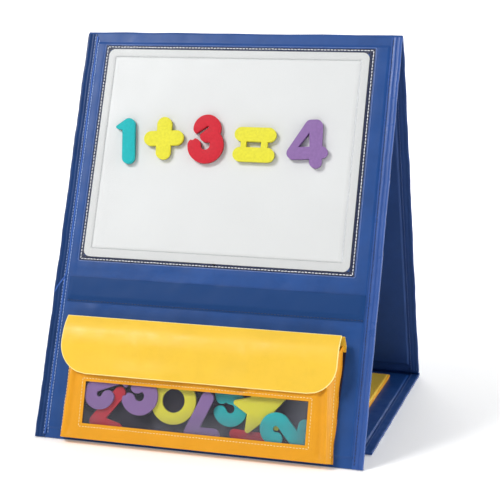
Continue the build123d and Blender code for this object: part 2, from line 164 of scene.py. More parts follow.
def new_mesh(name, points, faces, angle=38.0):
    """Object from points in metres and faces, with its normals turned outward and its seams kept sharp."""
    mesh = bpy.data.meshes.new(name)
    mesh.from_pydata(points.tolist(), [], faces)
    work = bmesh.new()
    work.from_mesh(mesh)
    bmesh.ops.delete(work, geom=[v for v in work.verts if not v.link_faces], context="VERTS")
    bmesh.ops.recalc_face_normals(work, faces=work.faces)
    work.to_mesh(mesh)
    work.free()
    mesh.shade_smooth()
    mesh.set_sharp_from_angle(angle=math.radians(angle))
    obj = bpy.data.objects.new(name, mesh)
    bpy.context.scene.collection.objects.link(obj)
    return obj


def slab(name, panel, top, bottom, keep=None):
    """Closed sheet between two grids of panel points; keep says which cells are there."""
    rows, columns = top.shape[:2]
    points = np.concatenate([panel.place(top).reshape(-1, 3), panel.place(bottom).reshape(-1, 3)])
    under = rows * columns
    index = np.arange(under).reshape(rows, columns)
    if keep is None:
        keep = np.ones((rows - 1, columns - 1), bool)
    corner = [index[:-1, :-1], index[1:, :-1], index[1:, 1:], index[:-1, 1:]]
    upper = np.stack([c[keep] for c in corner], 1)
    faces = [*upper.tolist(), *(upper[:, ::-1] + under).tolist()]
    wide = np.pad(keep, 1)
    beside = [wide[1:-1, :-2], wide[2:, 1:-1], wide[1:-1, 2:], wide[:-2, 1:-1]]
    for side in range(4):
        rim = keep & ~beside[side]
        p, q = corner[side][rim], corner[(side + 1) % 4][rim]
        faces.extend(np.stack([q, p, p + under, q + under], 1).tolist())
    return new_mesh(name, points, faces)


def sheet_grid(us, vs, height):
    """Grid of panel points over lines us and vs at a height function or number."""
    u, v = np.meshgrid(us, vs, indexing="ij")
    n = height(u, v) if callable(height) else np.full(u.shape, float(height))
    return np.stack([u, v, n], -1)


def lowered(grid, depth):
    """Copy of a grid of panel points, moved in by a depth."""
    return grid - np.array([0, 0, depth])


def levelled(grid, level):
    """Copy of a grid of panel points, laid flat at a level."""
    return np.concatenate([grid[..., :2], np.full(grid.shape[:2] + (1,), level)], -1)


def ring_faces(count, sides, first=0, closed=False):
    """Faces between neighbouring rings of points, capped at both ends unless the row closes."""
    faces = []
    for i in range(count if closed else count - 1):
        a, b = first + i * sides, first + (i + 1) % count * sides
        faces.extend([a + k, a + (k + 1) % sides, b + (k + 1) % sides, b + k] for k in range(sides))
    if not closed:
        end = first + count * sides
        faces += [list(range(first, first + sides)), list(range(end - sides, end))]
    return faces


def tube(name, panel, path, radius, sides=8, closed=False, flat=1.0):
    """Rounded bead along panel points, flattened towards the panel by the share flat."""
    line = np.asarray(path, float)
    ahead = np.roll(line, -1, 0) - np.roll(line, 1, 0)
    if not closed:
        ahead[0], ahead[-1] = line[1] - line[0], line[-1] - line[-2]
    ahead /= np.linalg.norm(ahead, axis=1)[:, None]
    side = np.cross(np.array([0, 0, 1.0]), ahead)
    side /= np.linalg.norm(side, axis=1)[:, None]
    up = np.cross(ahead, side)
    turns = np.arange(sides) * 2 * math.pi / sides
    ring = side[:, None] * np.cos(turns)[None, :, None] + up[:, None] * np.sin(turns)[None, :, None] * flat
    points = panel.place(line[:, None] + ring * radius).reshape(-1, 3)
    return new_mesh(name, points, ring_faces(len(line), sides, closed=closed), 60)


def loft(name, panel, rings):
    """Closed skin over a row of closed rings of panel points, capped at both ends."""
    rings = np.asarray(rings, float)
    return new_mesh(name, panel.place(rings).reshape(-1, 3), ring_faces(*rings.shape[:2]))


STITCH_SIDES = 6
STITCH_ALONG = np.array([-0.5, -0.38, 0.0, 0.38, 0.5])
STITCH_RADIUS = np.array([0.45, 0.9, 1.0, 0.9, 0.45])
STITCH_LIFT = np.array([-0.9, -0.05, 0.3, -0.05, -0.9])


def stitches(name, panel, paths, height, length, pitch, radius, seed):
    """Row of separate thread stitches along paths of (u, v) points, lying on a height function."""
    draw = np.random.default_rng(seed)
    middles, ways = [], []
    for path in paths:
        line = np.asarray(path, float)
        runs = np.linalg.norm(np.diff(line, axis=0), axis=1)
        far = np.concatenate([[0], np.cumsum(runs)])
        count = max(1, int(far[-1] / pitch))
        at = (np.arange(count) + 0.5) * far[-1] / count
        spot, tip, tail = (
            np.stack([np.interp(at + ahead, far, line[:, k]) for k in range(2)], 1)
            for ahead in (0, 0.1, -0.1)
        )
        middles.append(spot)
        ways.append((tip - tail) / np.linalg.norm(tip - tail, axis=1)[:, None])
    spot, way = np.concatenate(middles), np.concatenate(ways)
    count = len(spot)
    tilt = draw.normal(0, 0.06, count)
    cos, sin = np.cos(tilt), np.sin(tilt)
    way = np.stack([way[:, 0] * cos - way[:, 1] * sin, way[:, 0] * sin + way[:, 1] * cos], 1)
    spot = spot + draw.normal(0, 0.07, spot.shape)
    along = length * (1 + draw.normal(0, 0.05, count))
    centre = spot[:, None] + way[:, None] * (STITCH_ALONG[None, :, None] * along[:, None, None])
    lift = height(centre[..., 0], centre[..., 1]) + radius * 0.35 + STITCH_LIFT * radius
    turns = np.arange(STITCH_SIDES) * 2 * math.pi / STITCH_SIDES
    cross = np.stack([-way[:, 1], way[:, 0]], 1)
    swell = radius * STITCH_RADIUS[None, :, None]
    flat = centre[:, :, None] + cross[:, None, None] * (swell * np.cos(turns))[..., None]
    tall = lift[:, :, None] + swell * np.sin(turns)
    points = panel.place(np.concatenate([flat, tall[..., None]], -1)).reshape(-1, 3)
    faces = []
    rings = len(STITCH_ALONG)
    for number in range(count):
        faces += ring_faces(rings, STITCH_SIDES, number * rings * STITCH_SIDES)
    return new_mesh(name, points, faces, 70)


def rounded_half(along, low, high, half, radius):
    """Half width of a rounded rectangle at a place between low and high."""
    near = np.minimum(along - low, high - along)
    short = np.clip(radius - near, 0, radius)
    return half - radius + np.sqrt(np.maximum(radius**2 - short**2, 0))


def rounded_grid(box, radius, us, vs, height):
    """Grid of panel points over a rounded rectangle (u0, u1, v0, v1), from its grid lines."""
    u0, u1, v0, v1 = box
    bend = [v0 + radius * (1 - math.cos(a)) for a in np.linspace(0, math.pi / 2, 7)]
    middle = [v for v in vs if v0 + radius + 0.3 < v < v1 - radius - 0.3]
    vs = np.concatenate([bend, middle, [v0 + v1 - b for b in bend[::-1]]])
    share = (np.asarray(us) - (u0 + u1) / 2) / ((u1 - u0) / 2)
    half = rounded_half(vs, v0, v1, (u1 - u0) / 2, radius)
    u = (u0 + u1) / 2 + share[:, None] * half[None, :]
    v = np.broadcast_to(vs[None, :], u.shape)
    n = height(u, v) if callable(height) else np.full(u.shape, float(height))
    return np.stack([u, v, n], -1)


def easy_line(points, count, passes=0):
    """Evenly spaced points along a line of (v, n) points, its corners eased by smoothing passes."""
    pts = np.array(points, float)
    far = np.concatenate([[0], np.cumsum(np.linalg.norm(np.diff(pts, axis=0), axis=1))])
    at = np.linspace(0, far[-1], count)
    line = np.stack([np.interp(at, far, pts[:, k]) for k in range(2)], 1)
    for _ in range(passes):
        line[1:-1] = (line[:-2] + 2 * line[1:-1] + line[2:]) / 4
    return line, at


def bent_sheet(name, panel, us, line, thick, slack=0.0, seed=1):
    """Sheet of even thickness across a panel that follows a line of (v, n) points."""
    ahead = np.gradient(line, axis=0)
    ahead /= np.linalg.norm(ahead, axis=1)[:, None]
    out = np.stack([ahead[:, 1], -ahead[:, 0]], 1)
    u = np.broadcast_to(us[:, None], (len(us), len(line)))
    wave = slack * ripple(u, np.broadcast_to(np.arange(len(line)) * 1.5, u.shape), 55, seed)
    middle = np.stack([u, line[:, 0] + wave * out[:, 0], line[:, 1] + wave * out[:, 1]], -1)
    side = np.stack([0 * u, 0 * u + out[:, 0], 0 * u + out[:, 1]], -1) * thick / 2
    return slab(name, panel, middle + side, middle - side)


def nap_tape(name, panel, box, low, high, seed):
    """Length of hook-and-loop tape over a (u0, u1, v0, v1) box, with woven borders and an uneven nap."""
    us = lines(box[0], (box[0] + 3, 0.6), (box[1] - 3, 2.0), (box[1], 0.6))
    vs = lines(box[2], (box[2] + 2, 0.5), (box[3] - 2, 1.2), (box[3], 0.5))

    def height(u, v):
        inside = np.minimum(np.minimum(u - box[0], box[1] - u), np.minimum(v - box[2], box[3] - v))
        nap = 0.35 * (high - low) * ramp(inside, 1.2, 2.0) * (0.8 + 0.2 * ripple(u, v, 5, seed))
        return low + 0.62 * (high - low) * ramp(inside, -0.3, 0.4) + nap

    return slab(name, panel, sheet_grid(us, vs, height), sheet_grid(us, vs, low))


def runs(*points):
    """Straight paths from each point to the next."""
    return [np.array(pair, float) for pair in zip(points, points[1:])]


def box_path(box):
    """Points round a rectangle, one straight path for each side."""
    u0, u1, v0, v1 = box
    return runs((u0, v0), (u1, v0), (u1, v1), (u0, v1), (u0, v0))


# Materials


class Nodes:
    """Short hand for building one material's node tree."""

    def __init__(self, name):
        self.material = bpy.data.materials.new(name)
        self.material.use_nodes = True
        self.tree = self.material.node_tree
        self.shader = self.tree.nodes["Principled BSDF"]
        self.coords = self.tree.nodes.new("ShaderNodeTexCoord")

    def add(self, kind, **values):
        """New node, with any of its own settings."""
        node = self.tree.nodes.new(kind)
        for key, value in values.items():
            setattr(node, key, value)
        return node

    def link(self, source, target):
        """Join two sockets."""
        self.tree.links.new(source, target)

    def fix(self, socket, value):
        """Set one of the shader's own sockets to a value."""
        self.shader.inputs[socket].default_value = value

    def noise(self, scale, detail=3.0, rough=0.55):
        """Noise in the row frame, in metres."""
        node = self.add("ShaderNodeTexNoise")
        node.inputs["Scale"].default_value = scale
        node.inputs["Detail"].default_value = detail
        node.inputs["Roughness"].default_value = rough
        self.link(self.coords.outputs["Object"], node.inputs["Vector"])
        return node.outputs["Fac"]

    def cells(self, scale, feature="F1"):
        """Small cells in the row frame, in metres."""
        node = self.add("ShaderNodeTexVoronoi", feature=feature)
        node.inputs["Scale"].default_value = scale
        self.link(self.coords.outputs["Object"], node.inputs["Vector"])
        return node.outputs["Distance"]

    def spread(self, source, low, high, to_low, to_high):
        """Map a range of one value onto another."""
        node = self.add("ShaderNodeMapRange")
        self.link(source, node.inputs["Value"])
        for key, value in zip(("From Min", "From Max", "To Min", "To Max"), (low, high, to_low, to_high)):
            node.inputs[key].default_value = value
        return node.outputs["Result"]

    def work_out(self, operation, first, second):
        """Result of a sum or product of two sockets."""
        node = self.add("ShaderNodeMath", operation=operation)
        self.link(first, node.inputs[0])
        self.link(second, node.inputs[1])
        return node.outputs["Value"]

    def colours(self, source, stops):
        """Colour ramp over a value, with (place, colour) stops."""
        node = self.add("ShaderNodeValToRGB")
        ramp_stops = node.color_ramp.elements
        while len(ramp_stops) < len(stops):
            ramp_stops.new(0.5)
        for element, (place, colour) in zip(ramp_stops, stops):
            element.position = place
            element.color = (*colour, 1)
        self.link(source, node.inputs["Fac"])
        self.link(node.outputs["Color"], self.shader.inputs["Base Color"])

    def paint(self, source, colour, dark, light, low=0.3):
        """Base colour that runs from a darker to a lighter tint over a value."""
        self.colours(source, [(low, tint(colour, dark)), (1 - low, tint(colour, light))])

    def dull(self, source, low, high):
        """Roughness that follows a value."""
        self.link(self.spread(source, 0.3, 0.7, low, high), self.shader.inputs["Roughness"])

    def bump(self, source, depth, strength, under=None):
        """Relief from a value, over any finer relief."""
        node = self.add("ShaderNodeBump")
        node.inputs["Strength"].default_value = strength
        node.inputs["Distance"].default_value = depth
        self.link(source, node.inputs["Height"])
        if under is not None:
            self.link(under, node.inputs["Normal"])
        return node.outputs["Normal"]

    def relief(self, source, depth, strength, under=None):
        """Give the shader a relief."""
        self.link(self.bump(source, depth, strength, under), self.shader.inputs["Normal"])


def tint(colour, share):
    """Colour made darker below 1 or lighter above it."""
    return tuple(min(1.0, max(0.0, c * share)) for c in colour)


def vinyl(name, colour, rough=0.42, mottle=0.14):
    """Grained coated cloth: fine pebble grain, soft cloudy colour, dull and shiny patches."""
    m = Nodes(name)
    m.paint(m.noise(26.0, 9.0, 0.7), colour, 1 - mottle, 1 + mottle)
    m.dull(m.noise(60.0), rough - 0.07, rough + 0.09)
    m.relief(m.noise(75.0, 2.0), 0.0012, 0.22, m.bump(m.cells(1500.0, "SMOOTH_F1"), 0.00007, 0.5))
    m.fix("Specular IOR Level", 0.3)
    return m.material


def thread(name, colour):
    """Twisted sewing thread."""
    m = Nodes(name)
    m.paint(m.noise(900.0, 2.0), colour, 0.86, 1.08)
    m.relief(m.noise(2600.0, 1.0), 0.0001, 0.5)
    m.fix("Roughness", 0.5)
    m.fix("Sheen Weight", 0.2)
    return m.material


def foam(name, colour):
    """Closed-cell craft foam with fine pores."""
    m = Nodes(name)
    m.paint(m.noise(420.0, 4.0), colour, 0.93, 1.06, 0.32)
    m.relief(m.noise(300.0, 2.0), 0.0002, 0.25, m.bump(m.cells(2600.0), 0.00006, 0.55))
    m.dull(m.noise(700.0, 2.0), 0.52, 0.68)
    m.fix("Specular IOR Level", 0.2)
    m.fix("Sheen Weight", 0.04)
    return m.material


def wipe_board(name, colour):
    """Smooth wipe-clean sheet, faintly uneven."""
    m = Nodes(name)
    m.paint(m.noise(9.0), colour, 0.97, 1.02)
    m.dull(m.noise(40.0), 0.4, 0.55)
    m.relief(m.noise(34.0, 2.0), 0.0006, 0.15)
    m.fix("Specular IOR Level", 0.3)
    return m.material


def window_film(name, colour):
    """Clear window film with a patchy grey veil towards its right and bottom, over a faint grey tint that is
    painted shade on what lies behind it.
    """
    m = Nodes(name)
    m.fix("Base Color", (*colour, 1))
    m.fix("Roughness", 0.14)
    m.fix("Specular IOR Level", 0.45)
    place = m.add("ShaderNodeSeparateXYZ")
    m.link(m.coords.outputs["Object"], place.inputs["Vector"])
    right = m.spread(place.outputs["X"], 0.088, 0.112, 0.0, 0.2)
    low = m.spread(place.outputs["Z"], 0.044, 0.018, 0.0, 0.2)
    patch = m.spread(m.noise(24.0, 1.5), 0.42, 0.62, 0.05, 1.0)
    veil = m.work_out("ADD", m.work_out("MULTIPLY", low, patch), right)
    # The 0.07 added to the alpha is painted shade: a faint grey tint over all that lies behind the window.
    thin = m.add("ShaderNodeMath", operation="ADD")
    thin.inputs[1].default_value = 0.07
    m.link(veil, thin.inputs[0])
    m.link(thin.outputs["Value"], m.shader.inputs["Alpha"])
    m.relief(m.noise(30.0, 1.0), 0.001, 0.25)
    return m.material


def clear_film(name, colour, haze, edge_haze, rough, gloss):
    """Clear flexible film: thin haze, brighter at a glancing angle, soft waves in its gloss."""
    m = Nodes(name)
    m.fix("Base Color", (*colour, 1))
    m.fix("Roughness", rough)
    m.fix("Specular IOR Level", gloss)
    m.fix("IOR", 1.5)
    glance = m.add("ShaderNodeLayerWeight")
    glance.inputs["Blend"].default_value = 0.35
    m.link(m.spread(glance.outputs["Facing"], 0.0, 1.0, haze, edge_haze), m.shader.inputs["Alpha"])
    m.relief(m.noise(38.0, 2.0), 0.0012, 0.3)
    return m.material


def touch_tape(name, colour):
    """Hook-and-loop tape with a dense nap."""
    m = Nodes(name)
    m.paint(m.noise(1700.0), colour, 0.6, 1.4)
    m.relief(m.cells(2000.0), 0.0004, 0.9)
    m.fix("Roughness", 0.85)
    m.fix("Sheen Weight", 0.5)
    return m.material


def pressed_board(name, colour):
    """Grey board with pressed fibres."""
    m = Nodes(name)
    m.paint(m.noise(500.0, 5.0, 0.7), colour, 0.75, 1.2)
    m.relief(m.noise(1200.0), 0.0002, 0.5)
    m.fix("Roughness", 0.9)
    return m.material


def sheet_steel(name, colour):
    """Thin bright steel with a faint spangle."""
    m = Nodes(name)
    m.colours(m.cells(90.0), [(0.1, tint(colour, 0.8)), (0.7, tint(colour, 1.15))])
    m.dull(m.noise(200.0), 0.3, 0.5)
    m.fix("Metallic", 1.0)
    return m.material


def magnet_rubber(name, colour):
    """Dark flexible magnet sheet."""
    m = Nodes(name)
    m.paint(m.noise(800.0), colour, 0.7, 1.4)
    m.relief(m.noise(1500.0, 2.0), 0.0001, 0.5)
    m.fix("Roughness", 0.75)
    return m.material


def settings():
    """The chart's sizes, colours and light levels."""
    return bpy.context.scene.pocket_chart


def finishes():
    """Each finish by name, as the function that makes it and what that is given."""
    chart = settings()
    blue, highlight_blue, board = chart.blue[:], chart.highlight_blue[:], chart.board[:]
    return {
        "blue_vinyl": (vinyl, blue),
        "inner_blue_vinyl": (vinyl, chart.inner_blue[:], 0.55, 0.1),
        # painted shade: near-black blue that stands in for the shadow line round the white sheet
        "dark_tape": (vinyl, (0.006, 0.012, 0.05), 0.5),
        # painted highlight and painted shade: lighter right and darker left copies of the front's edge tape
        "edge_vinyl": (vinyl, highlight_blue, 0.3, 0.12),
        "shaded_hem_vinyl": (vinyl, tint(blue, 0.6), 0.36, 0.16),
        # painted light: brighter yellow for the base pocket, which the lamps barely reach under the tent
        "base_yellow_vinyl": (vinyl, (1.0, 0.66, 0.07), 0.45, 0.05),
        "yellow_vinyl": (vinyl, chart.yellow[:], 0.4, 0.05),
        "deep_yellow_vinyl": (vinyl, chart.deep_yellow[:], 0.45, 0.06),
        # the flap's own paler cut edge, and painted highlight along its crest
        "flap_edge": (vinyl, (1.0, 0.80, 0.28), 0.35, 0.03),
        "white_sheet": (wipe_board, board),
        "white_rim": (wipe_board, tint(board, 0.9)),
        "clear_vinyl": (clear_film, (0.7, 0.74, 0.8), 0.012, 0.16, 0.3, 0.35),
        # painted shade: the window's faint grey tint darkens what lies in the pocket
        "window_film": (window_film, (0.24, 0.25, 0.29)),
        # painted highlight: opaque light blue for the light caught by the clear film's cut edge
        "film_edge": (vinyl, (0.13, 0.22, 0.52), 0.3, 0.1),
        # painted shade: near-black purple-brown for the shade and orange bounce inside the storage pocket
        "pocket_shade": (vinyl, (0.016, 0.010, 0.026), 0.6),
        # painted highlight: lighter blue for the lit hem folds and the closure strip's fold
        "hem_vinyl": (vinyl, tint(highlight_blue, 1.5), 0.34, 0.14),
        "strip_film": (clear_film, (0.012, 0.060, 0.215), 0.86, 0.96, 0.42, 0.2),
        "white_thread": (thread, (0.84, 0.86, 0.9)),
        "board_thread": (thread, (0.5, 0.52, 0.53)),
        "light_thread": (thread, (0.36, 0.5, 0.84)),
        "blue_thread": (thread, (0.06, 0.12, 0.34)),
        "dark_thread": (thread, (0.008, 0.014, 0.06)),
        "yellow_thread": (thread, (1.0, 0.86, 0.42)),
        "amber_thread": (thread, (0.9, 0.42, 0.03)),
        "touch_tape": (touch_tape, (0.03, 0.05, 0.11)),
        "greyboard": (pressed_board, (0.45, 0.4, 0.33)),
        "steel_sheet": (sheet_steel, (0.6, 0.61, 0.63)),
        "magnet_rubber": (magnet_rubber, (0.03, 0.03, 0.035)),
        "teal_foam": (foam, chart.teal[:]),
        "yellow_foam": (foam, chart.lemon[:]),
        "red_foam": (foam, chart.red[:]),
        "purple_foam": (foam, chart.purple[:]),
    }


def wear(name):
    """The named finish, made once from the chart's settings."""
    found = bpy.data.materials.get(name + "_finish")
    if found:
        return found
    make, *values = finishes()[name]
    return make(name + "_finish", *values)


def first(word, node):
    """CAD node that a pair of pieces stands for, given to its left piece alone."""
    return [node] if word == "left" else ()


def dress(obj, body, material, nodes=()):
    """Give a piece its finish, its body and the CAD nodes it stands for."""
    obj.data.materials.clear()
    obj.data.materials.append(wear(material))
    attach(obj, body)
    if nodes:
        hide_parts(*nodes)
    return obj


def sew(name, panel, body, paths, height, length, pitch, radius, seed, material):
    """Row of stitches that belongs to a body."""
    return dress(stitches(name, panel, paths, height, length, pitch, radius, seed), body, material)


def sheet_cut(obj, width, length, held, *rests_on):
    """Hand back the piece unchanged: it is not declared as a sheet, and its cut size in millimetres, how it
    is held and what it rests on are not used.
    """
    return obj


def dress_node(node, material):
    """Give a CAD node that stays its finish."""
    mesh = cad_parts[node].data
    mesh.materials.clear()
    mesh.materials.append(wear(material))


def mm(value):
    """A length property in millimetres."""
    return value / MM


# Surfaces of the front panel


WRITING = (-136.0, 133.0, 181.0, 395.5)
RAISED = (-125.0, 122.0, 192.0, 384.5)
FILM = (-141.0, 139.4, 176.0, 400.5)
OUTER_SEAM = (-138.3, 136.4, 178.4, 397.9)
INNER_SEAM = (-128.4, 125.2, 189.6, 387.6)
SEAMS_U = (FILM[0] + 2.5, OUTER_SEAM[0], WRITING[0], INNER_SEAM[0], RAISED[0])
SEAMS_U += (RAISED[1], INNER_SEAM[1], WRITING[1], OUTER_SEAM[1])
SEAMS_V = (OUTER_SEAM[2], WRITING[2], INNER_SEAM[2], RAISED[2])
SEAMS_V += (RAISED[3], INNER_SEAM[3], WRITING[3], OUTER_SEAM[3])
# Widths of the painted shade line inside and outside the outer seam, in millimetres.
SHADE_LINE_IN = 3.4
SHADE_LINE_OUT = 1.5


def cover_height(u, v, length, foot):
    """Outer side of a sewn cover over its board, before any seams."""
    sides = ramp(HALF_WIDTH - np.abs(u), 9.4, 12.4)
    ends = ramp(v - foot, 8.0, 11.5) * ramp(length - v, 7.5, 11.5)
    return FACE * sides * ends


def waved_height(body, share, reach, seed):
    """Height function of a panel's cover, with slow waves in it."""
    low, high = SPANS[body]
    return lambda u, v: cover_height(u, v, high, low) * (1 + share * ripple(u, v, reach, seed))


def front_height(u, v):
    """Outer side of the front cover: flat behind the writing board, a little slack elsewhere."""
    n = cover_height(u, v, FRONT_LENGTH, FRONT_FOOT)
    slack = ramp(box_distance(u, v, WRITING), -6, 10) * n / FACE
    n = n + slack * (0.28 * ripple(u, v, 95, 4) + 0.1 * ripple(u, v, 26, 5))
    seam = box_distance(u, v, OUTER_SEAM)
    n = n - 0.4 * ridge(seam, 0, 1.4) * n / FACE
    n = n + 0.16 * ridge(seam, 6.0, 3.0) * (0.7 + 0.3 * ripple(u, v, 28, 9)) * n / FACE
    hem = 0.45 * ridge(u, -145.5, 3.2) * (0.8 + 0.2 * ripple(u * 0, v, 40, 10)) * ramp(v - FRONT_FOOT, 4, 12)
    band = ramp(v, 158, 161) * ramp(178 - v, 2, 8) * ramp(148 - np.abs(u), 2, 12)
    creases = 0.35 * ridge(u + 0.35 * (v - 120), -118, 7) - 0.3 * ridge(u + 0.3 * (v - 120), -104, 6)
    slack_band = ramp(v, 108, 120) * ramp(136 - v, 1, 6)
    return n + (hem + 0.14 * band * ripple(u, v, 34, 11) + slack_band * creases) * n / FACE


def white_height(u, v):
    """Top of the white sheet: a puffed rim round a raised flat middle."""
    inside = -box_distance(u, v, RAISED)
    raised = 0.4 * ramp(inside, -2.4, 0.6)
    rim = np.clip(-box_distance(u, v, WRITING) / 7.5, 0, 1)
    puff = 0.14 * np.sin(math.pi * rim) ** 0.8
    seam = box_distance(u, v, INNER_SEAM)
    return FACE + 0.5 + raised + puff - 0.2 * ridge(seam, 0, 0.7)


def film_height(u, v):
    """Top of the clear overlay, which drops from the white sheet onto the cover."""
    edge = ramp(box_distance(u, v, WRITING), -0.4, 1.8)
    return white_height(u, v) * (1 - edge) + front_height(u, v) * edge + 0.3


# Stage


def aim(obj, way):
    """Turn a light or a camera to look along a direction."""
    obj.rotation_mode = "QUATERNION"
    obj.rotation_quaternion = Vector(way).to_track_quat("-Z", "Y")


def softbox(name, place, spot, size, power):
    """Rectangular soft light at a place, turned to a spot."""
    light = bpy.data.lights.new(name, "AREA")
    light.shape = "RECTANGLE"
    light.size, light.size_y = size
    light.energy = power
    obj = bpy.data.objects.new(name, light)
    bpy.context.scene.collection.objects.link(obj)
    obj.location = place
    aim(obj, Vector(spot) - obj.location)


FLOOR_HALF = 3.2
FLOOR_NEAR = -2.6
BEND_START = 1.6
BEND_RADIUS = 1.1
WALL_TOP = 3.4
CAMERA_PLACE = (0.38994, -1.27011, 0.43084)
CAMERA_WAY = (-0.28149, 0.93928, -0.19625)
SENSOR_WIDTH = 36.0
LENS_LENGTH = 95.05


class POCKETCHART_OT_stage(bpy.types.Operator):
    """Add the pale floor, the soft studio lights and the camera"""

    bl_idname = "pocket_chart.stage"
    bl_label = "Stage"

    def execute(self, context):
        self.paper_floor()
        self.lights(context.scene)
        self.camera(context.scene)
        context.scene.view_settings.view_transform = "Standard"
        return {"FINISHED"}

    def paper_floor(self):
        """Pale paper that lies on the floor and bends up behind."""
        bend = np.linspace(0, math.pi / 2, 13)[1:]
        profile = [(FLOOR_NEAR, 0.0), (BEND_START, 0.0)]
        profile += [(BEND_START + BEND_RADIUS * math.sin(a), BEND_RADIUS * (1 - math.cos(a))) for a in bend]
        profile += [(BEND_START + BEND_RADIUS, WALL_TOP)]
        points = np.array([(x, y, z) for x in (-FLOOR_HALF, FLOOR_HALF) for y, z in profile])
        count = len(profile)
        faces = [[i, i + count, i + count + 1, i + 1] for i in range(count - 1)]
        floor = new_mesh("studio_floor", points, faces, 60)
        paper = Nodes("studio_paper")
        paper.colours(paper.noise(6.0, 2.0), [(0.2, (0.94, 0.94, 0.94)), (0.8, (0.96, 0.96, 0.96))])
        paper.fix("Roughness", 0.9)
        paper.fix("Emission Color", (1, 1, 1, 1))
        paper.fix("Emission Strength", settings().floor_glow)
        floor.data.materials.append(paper.material)

    def lights(self, scene):
        """Even surroundings and four softboxes."""
        world = bpy.data.worlds.new("studio_air")
        world.use_nodes = True
        air = world.node_tree.nodes["Background"].inputs
        air["Color"].default_value = (1, 1, 1, 1)
        air["Strength"].default_value = settings().air
        scene.world = world
        softbox("key_light", (-1.6, -1.7, 2.4), (0, 0, 0.16), (1.0, 1.0), settings().key)
        softbox("right_light", (2.2, -0.2, 0.6), (0, 0, 0.1), (1.2, 1.0), settings().right)
        softbox("top_light", (-0.2, -0.3, 2.4), (0, 0.1, 0), (2.4, 2.4), settings().top)
        softbox("backdrop_light", (0.0, 1.2, 2.6), (0, 2.7, 0.9), (2.6, 0.6), settings().backdrop)

    def camera(self, scene):
        """Camera at the photograph's viewing angle."""
        lens = bpy.data.cameras.new("camera")
        lens.sensor_fit = "HORIZONTAL"
        lens.sensor_width = SENSOR_WIDTH
        lens.lens = LENS_LENGTH
        lens.clip_start, lens.clip_end = 0.05, 50
        camera = bpy.data.objects.new("camera", lens)
        scene.collection.objects.link(camera)
        camera.location = CAMERA_PLACE
        aim(camera, CAMERA_WAY)
        scene.camera = camera


# Panels


def cover_lines(low, high, across, along):
    """Grid lines of a panel's cover: close at its sewn edges and round any seams, wider between them."""
    edge = HALF_WIDTH - 0.5
    if across:
        middle = seam_lines(-148, 148, 3.0, *across)
        rows = seam_lines(low + 13, high - 13, 2.6, *along)
    else:
        middle = lines(-148, (-118, 2.0), (118, 4.0), (148, 2.0))
        rows = lines(low + 13, (high - 13, 2.6))
    us = np.concatenate([lines(-edge, (-148, 0.7))[:-1], middle, lines(148, (edge, 0.7))[1:]])
    vs = np.concatenate([lines(low, (low + 13, 0.8))[:-1], rows, lines(high - 13, (high, 0.8))[1:]])
    return us, vs


def cover(node, panel, height, side=1, across=(), along=()):
    """Half of a panel's sewn cover, from its outer side down to the middle of the sewn edge."""
    body = node.split("_")[0]
    low, high = SPANS[body]
    us, vs = cover_lines(low, high, across, along)
    top = sheet_grid(us, vs, height)
    under = sheet_grid(us, vs, -SKIN)
    if side < 0:
        top[..., 2] = -FLANGE - top[..., 2]
    material, slot = ("blue_vinyl", "blue_vinyl") if side > 0 else ("inner_blue_vinyl", "dark_blue_vinyl")
    obj = dress(slab(node + "_vinyl", panel, top, under), body, material, [node])
    sheet_cut(obj, 2 * HALF_WIDTH, high - low, "stretched", body + "_board")


TAPE_INNER = 152.3
SEAM_ROLL = [(TAPE_INNER, 0.05), (152.6, 0.42), (153.4, 0.5), (154.2, 0.25), (155.0, 0.25), (155.9, 0.72)]
EDGE_ROLL = [(156.8, 0.9), (157.7, 0.7), (158.4, 0.3), (159.0, 0.5), (160.0, 1.0), (161.0, 1.15)]
EDGE_ROLL += [(161.9, 0.95), (162.5, 0.4), (HALF_WIDTH + 0.1, -0.35)]
TAPE_FOLD = 162.0


def binding_ring(side, v, wobble, full):
    """Section of the folded edge tape at one height: a narrow roll at its seam and a full one at the edge."""
    front = [(u, n * full + 0.3 * (1 - full) * (n > 0)) for u, n in SEAM_ROLL + EDGE_ROLL]
    ring = front + [(u, -FLANGE - n) for u, n in front[::-1]]
    ring += [(TAPE_INNER, -FLANGE + 0.02), (TAPE_FOLD, -FLANGE + 0.02)]
    ring += [(TAPE_FOLD, -0.02), (TAPE_INNER, -0.02)]
    return [(side * (u + wobble * (u > 153.0)), v, n + 0.25 * wobble * (u > 155)) for u, n in ring]


def bindings(body, panel, high, full, left, right):
    """Folded edge tape down both sides of a panel, full or pressed flat, each with its seed and finish."""
    vs = lines(SPANS[body][0], (high, 2.5))
    for word, side, (seed, material) in (("left", -1, left), ("right", 1, right)):
        wobble = 0.28 * ripple(vs, vs * 0, 46, seed) + 0.12 * ripple(vs, vs * 0, 14, seed + 1)
        rings = [binding_ring(side, v, w, full) for v, w in zip(vs, wobble)]
        nodes = [body + "_bindings"] if word == "left" else ()
        dress(loft(body + "_binding_" + word, panel, rings), body, material, nodes)


def edge_seam(name, panel, body, ends, spots, material, seed, radius=0.26, lift=0.5):
    """Stitches up the sewn edges of a panel, at each of some places across it."""
    paths = [[(u, ends[0]), (u, ends[1])] for u in spots]
    sew(name, panel, body, paths, lambda u, v: lift + 0 * u, 2.3, 3.1, radius, seed, material)


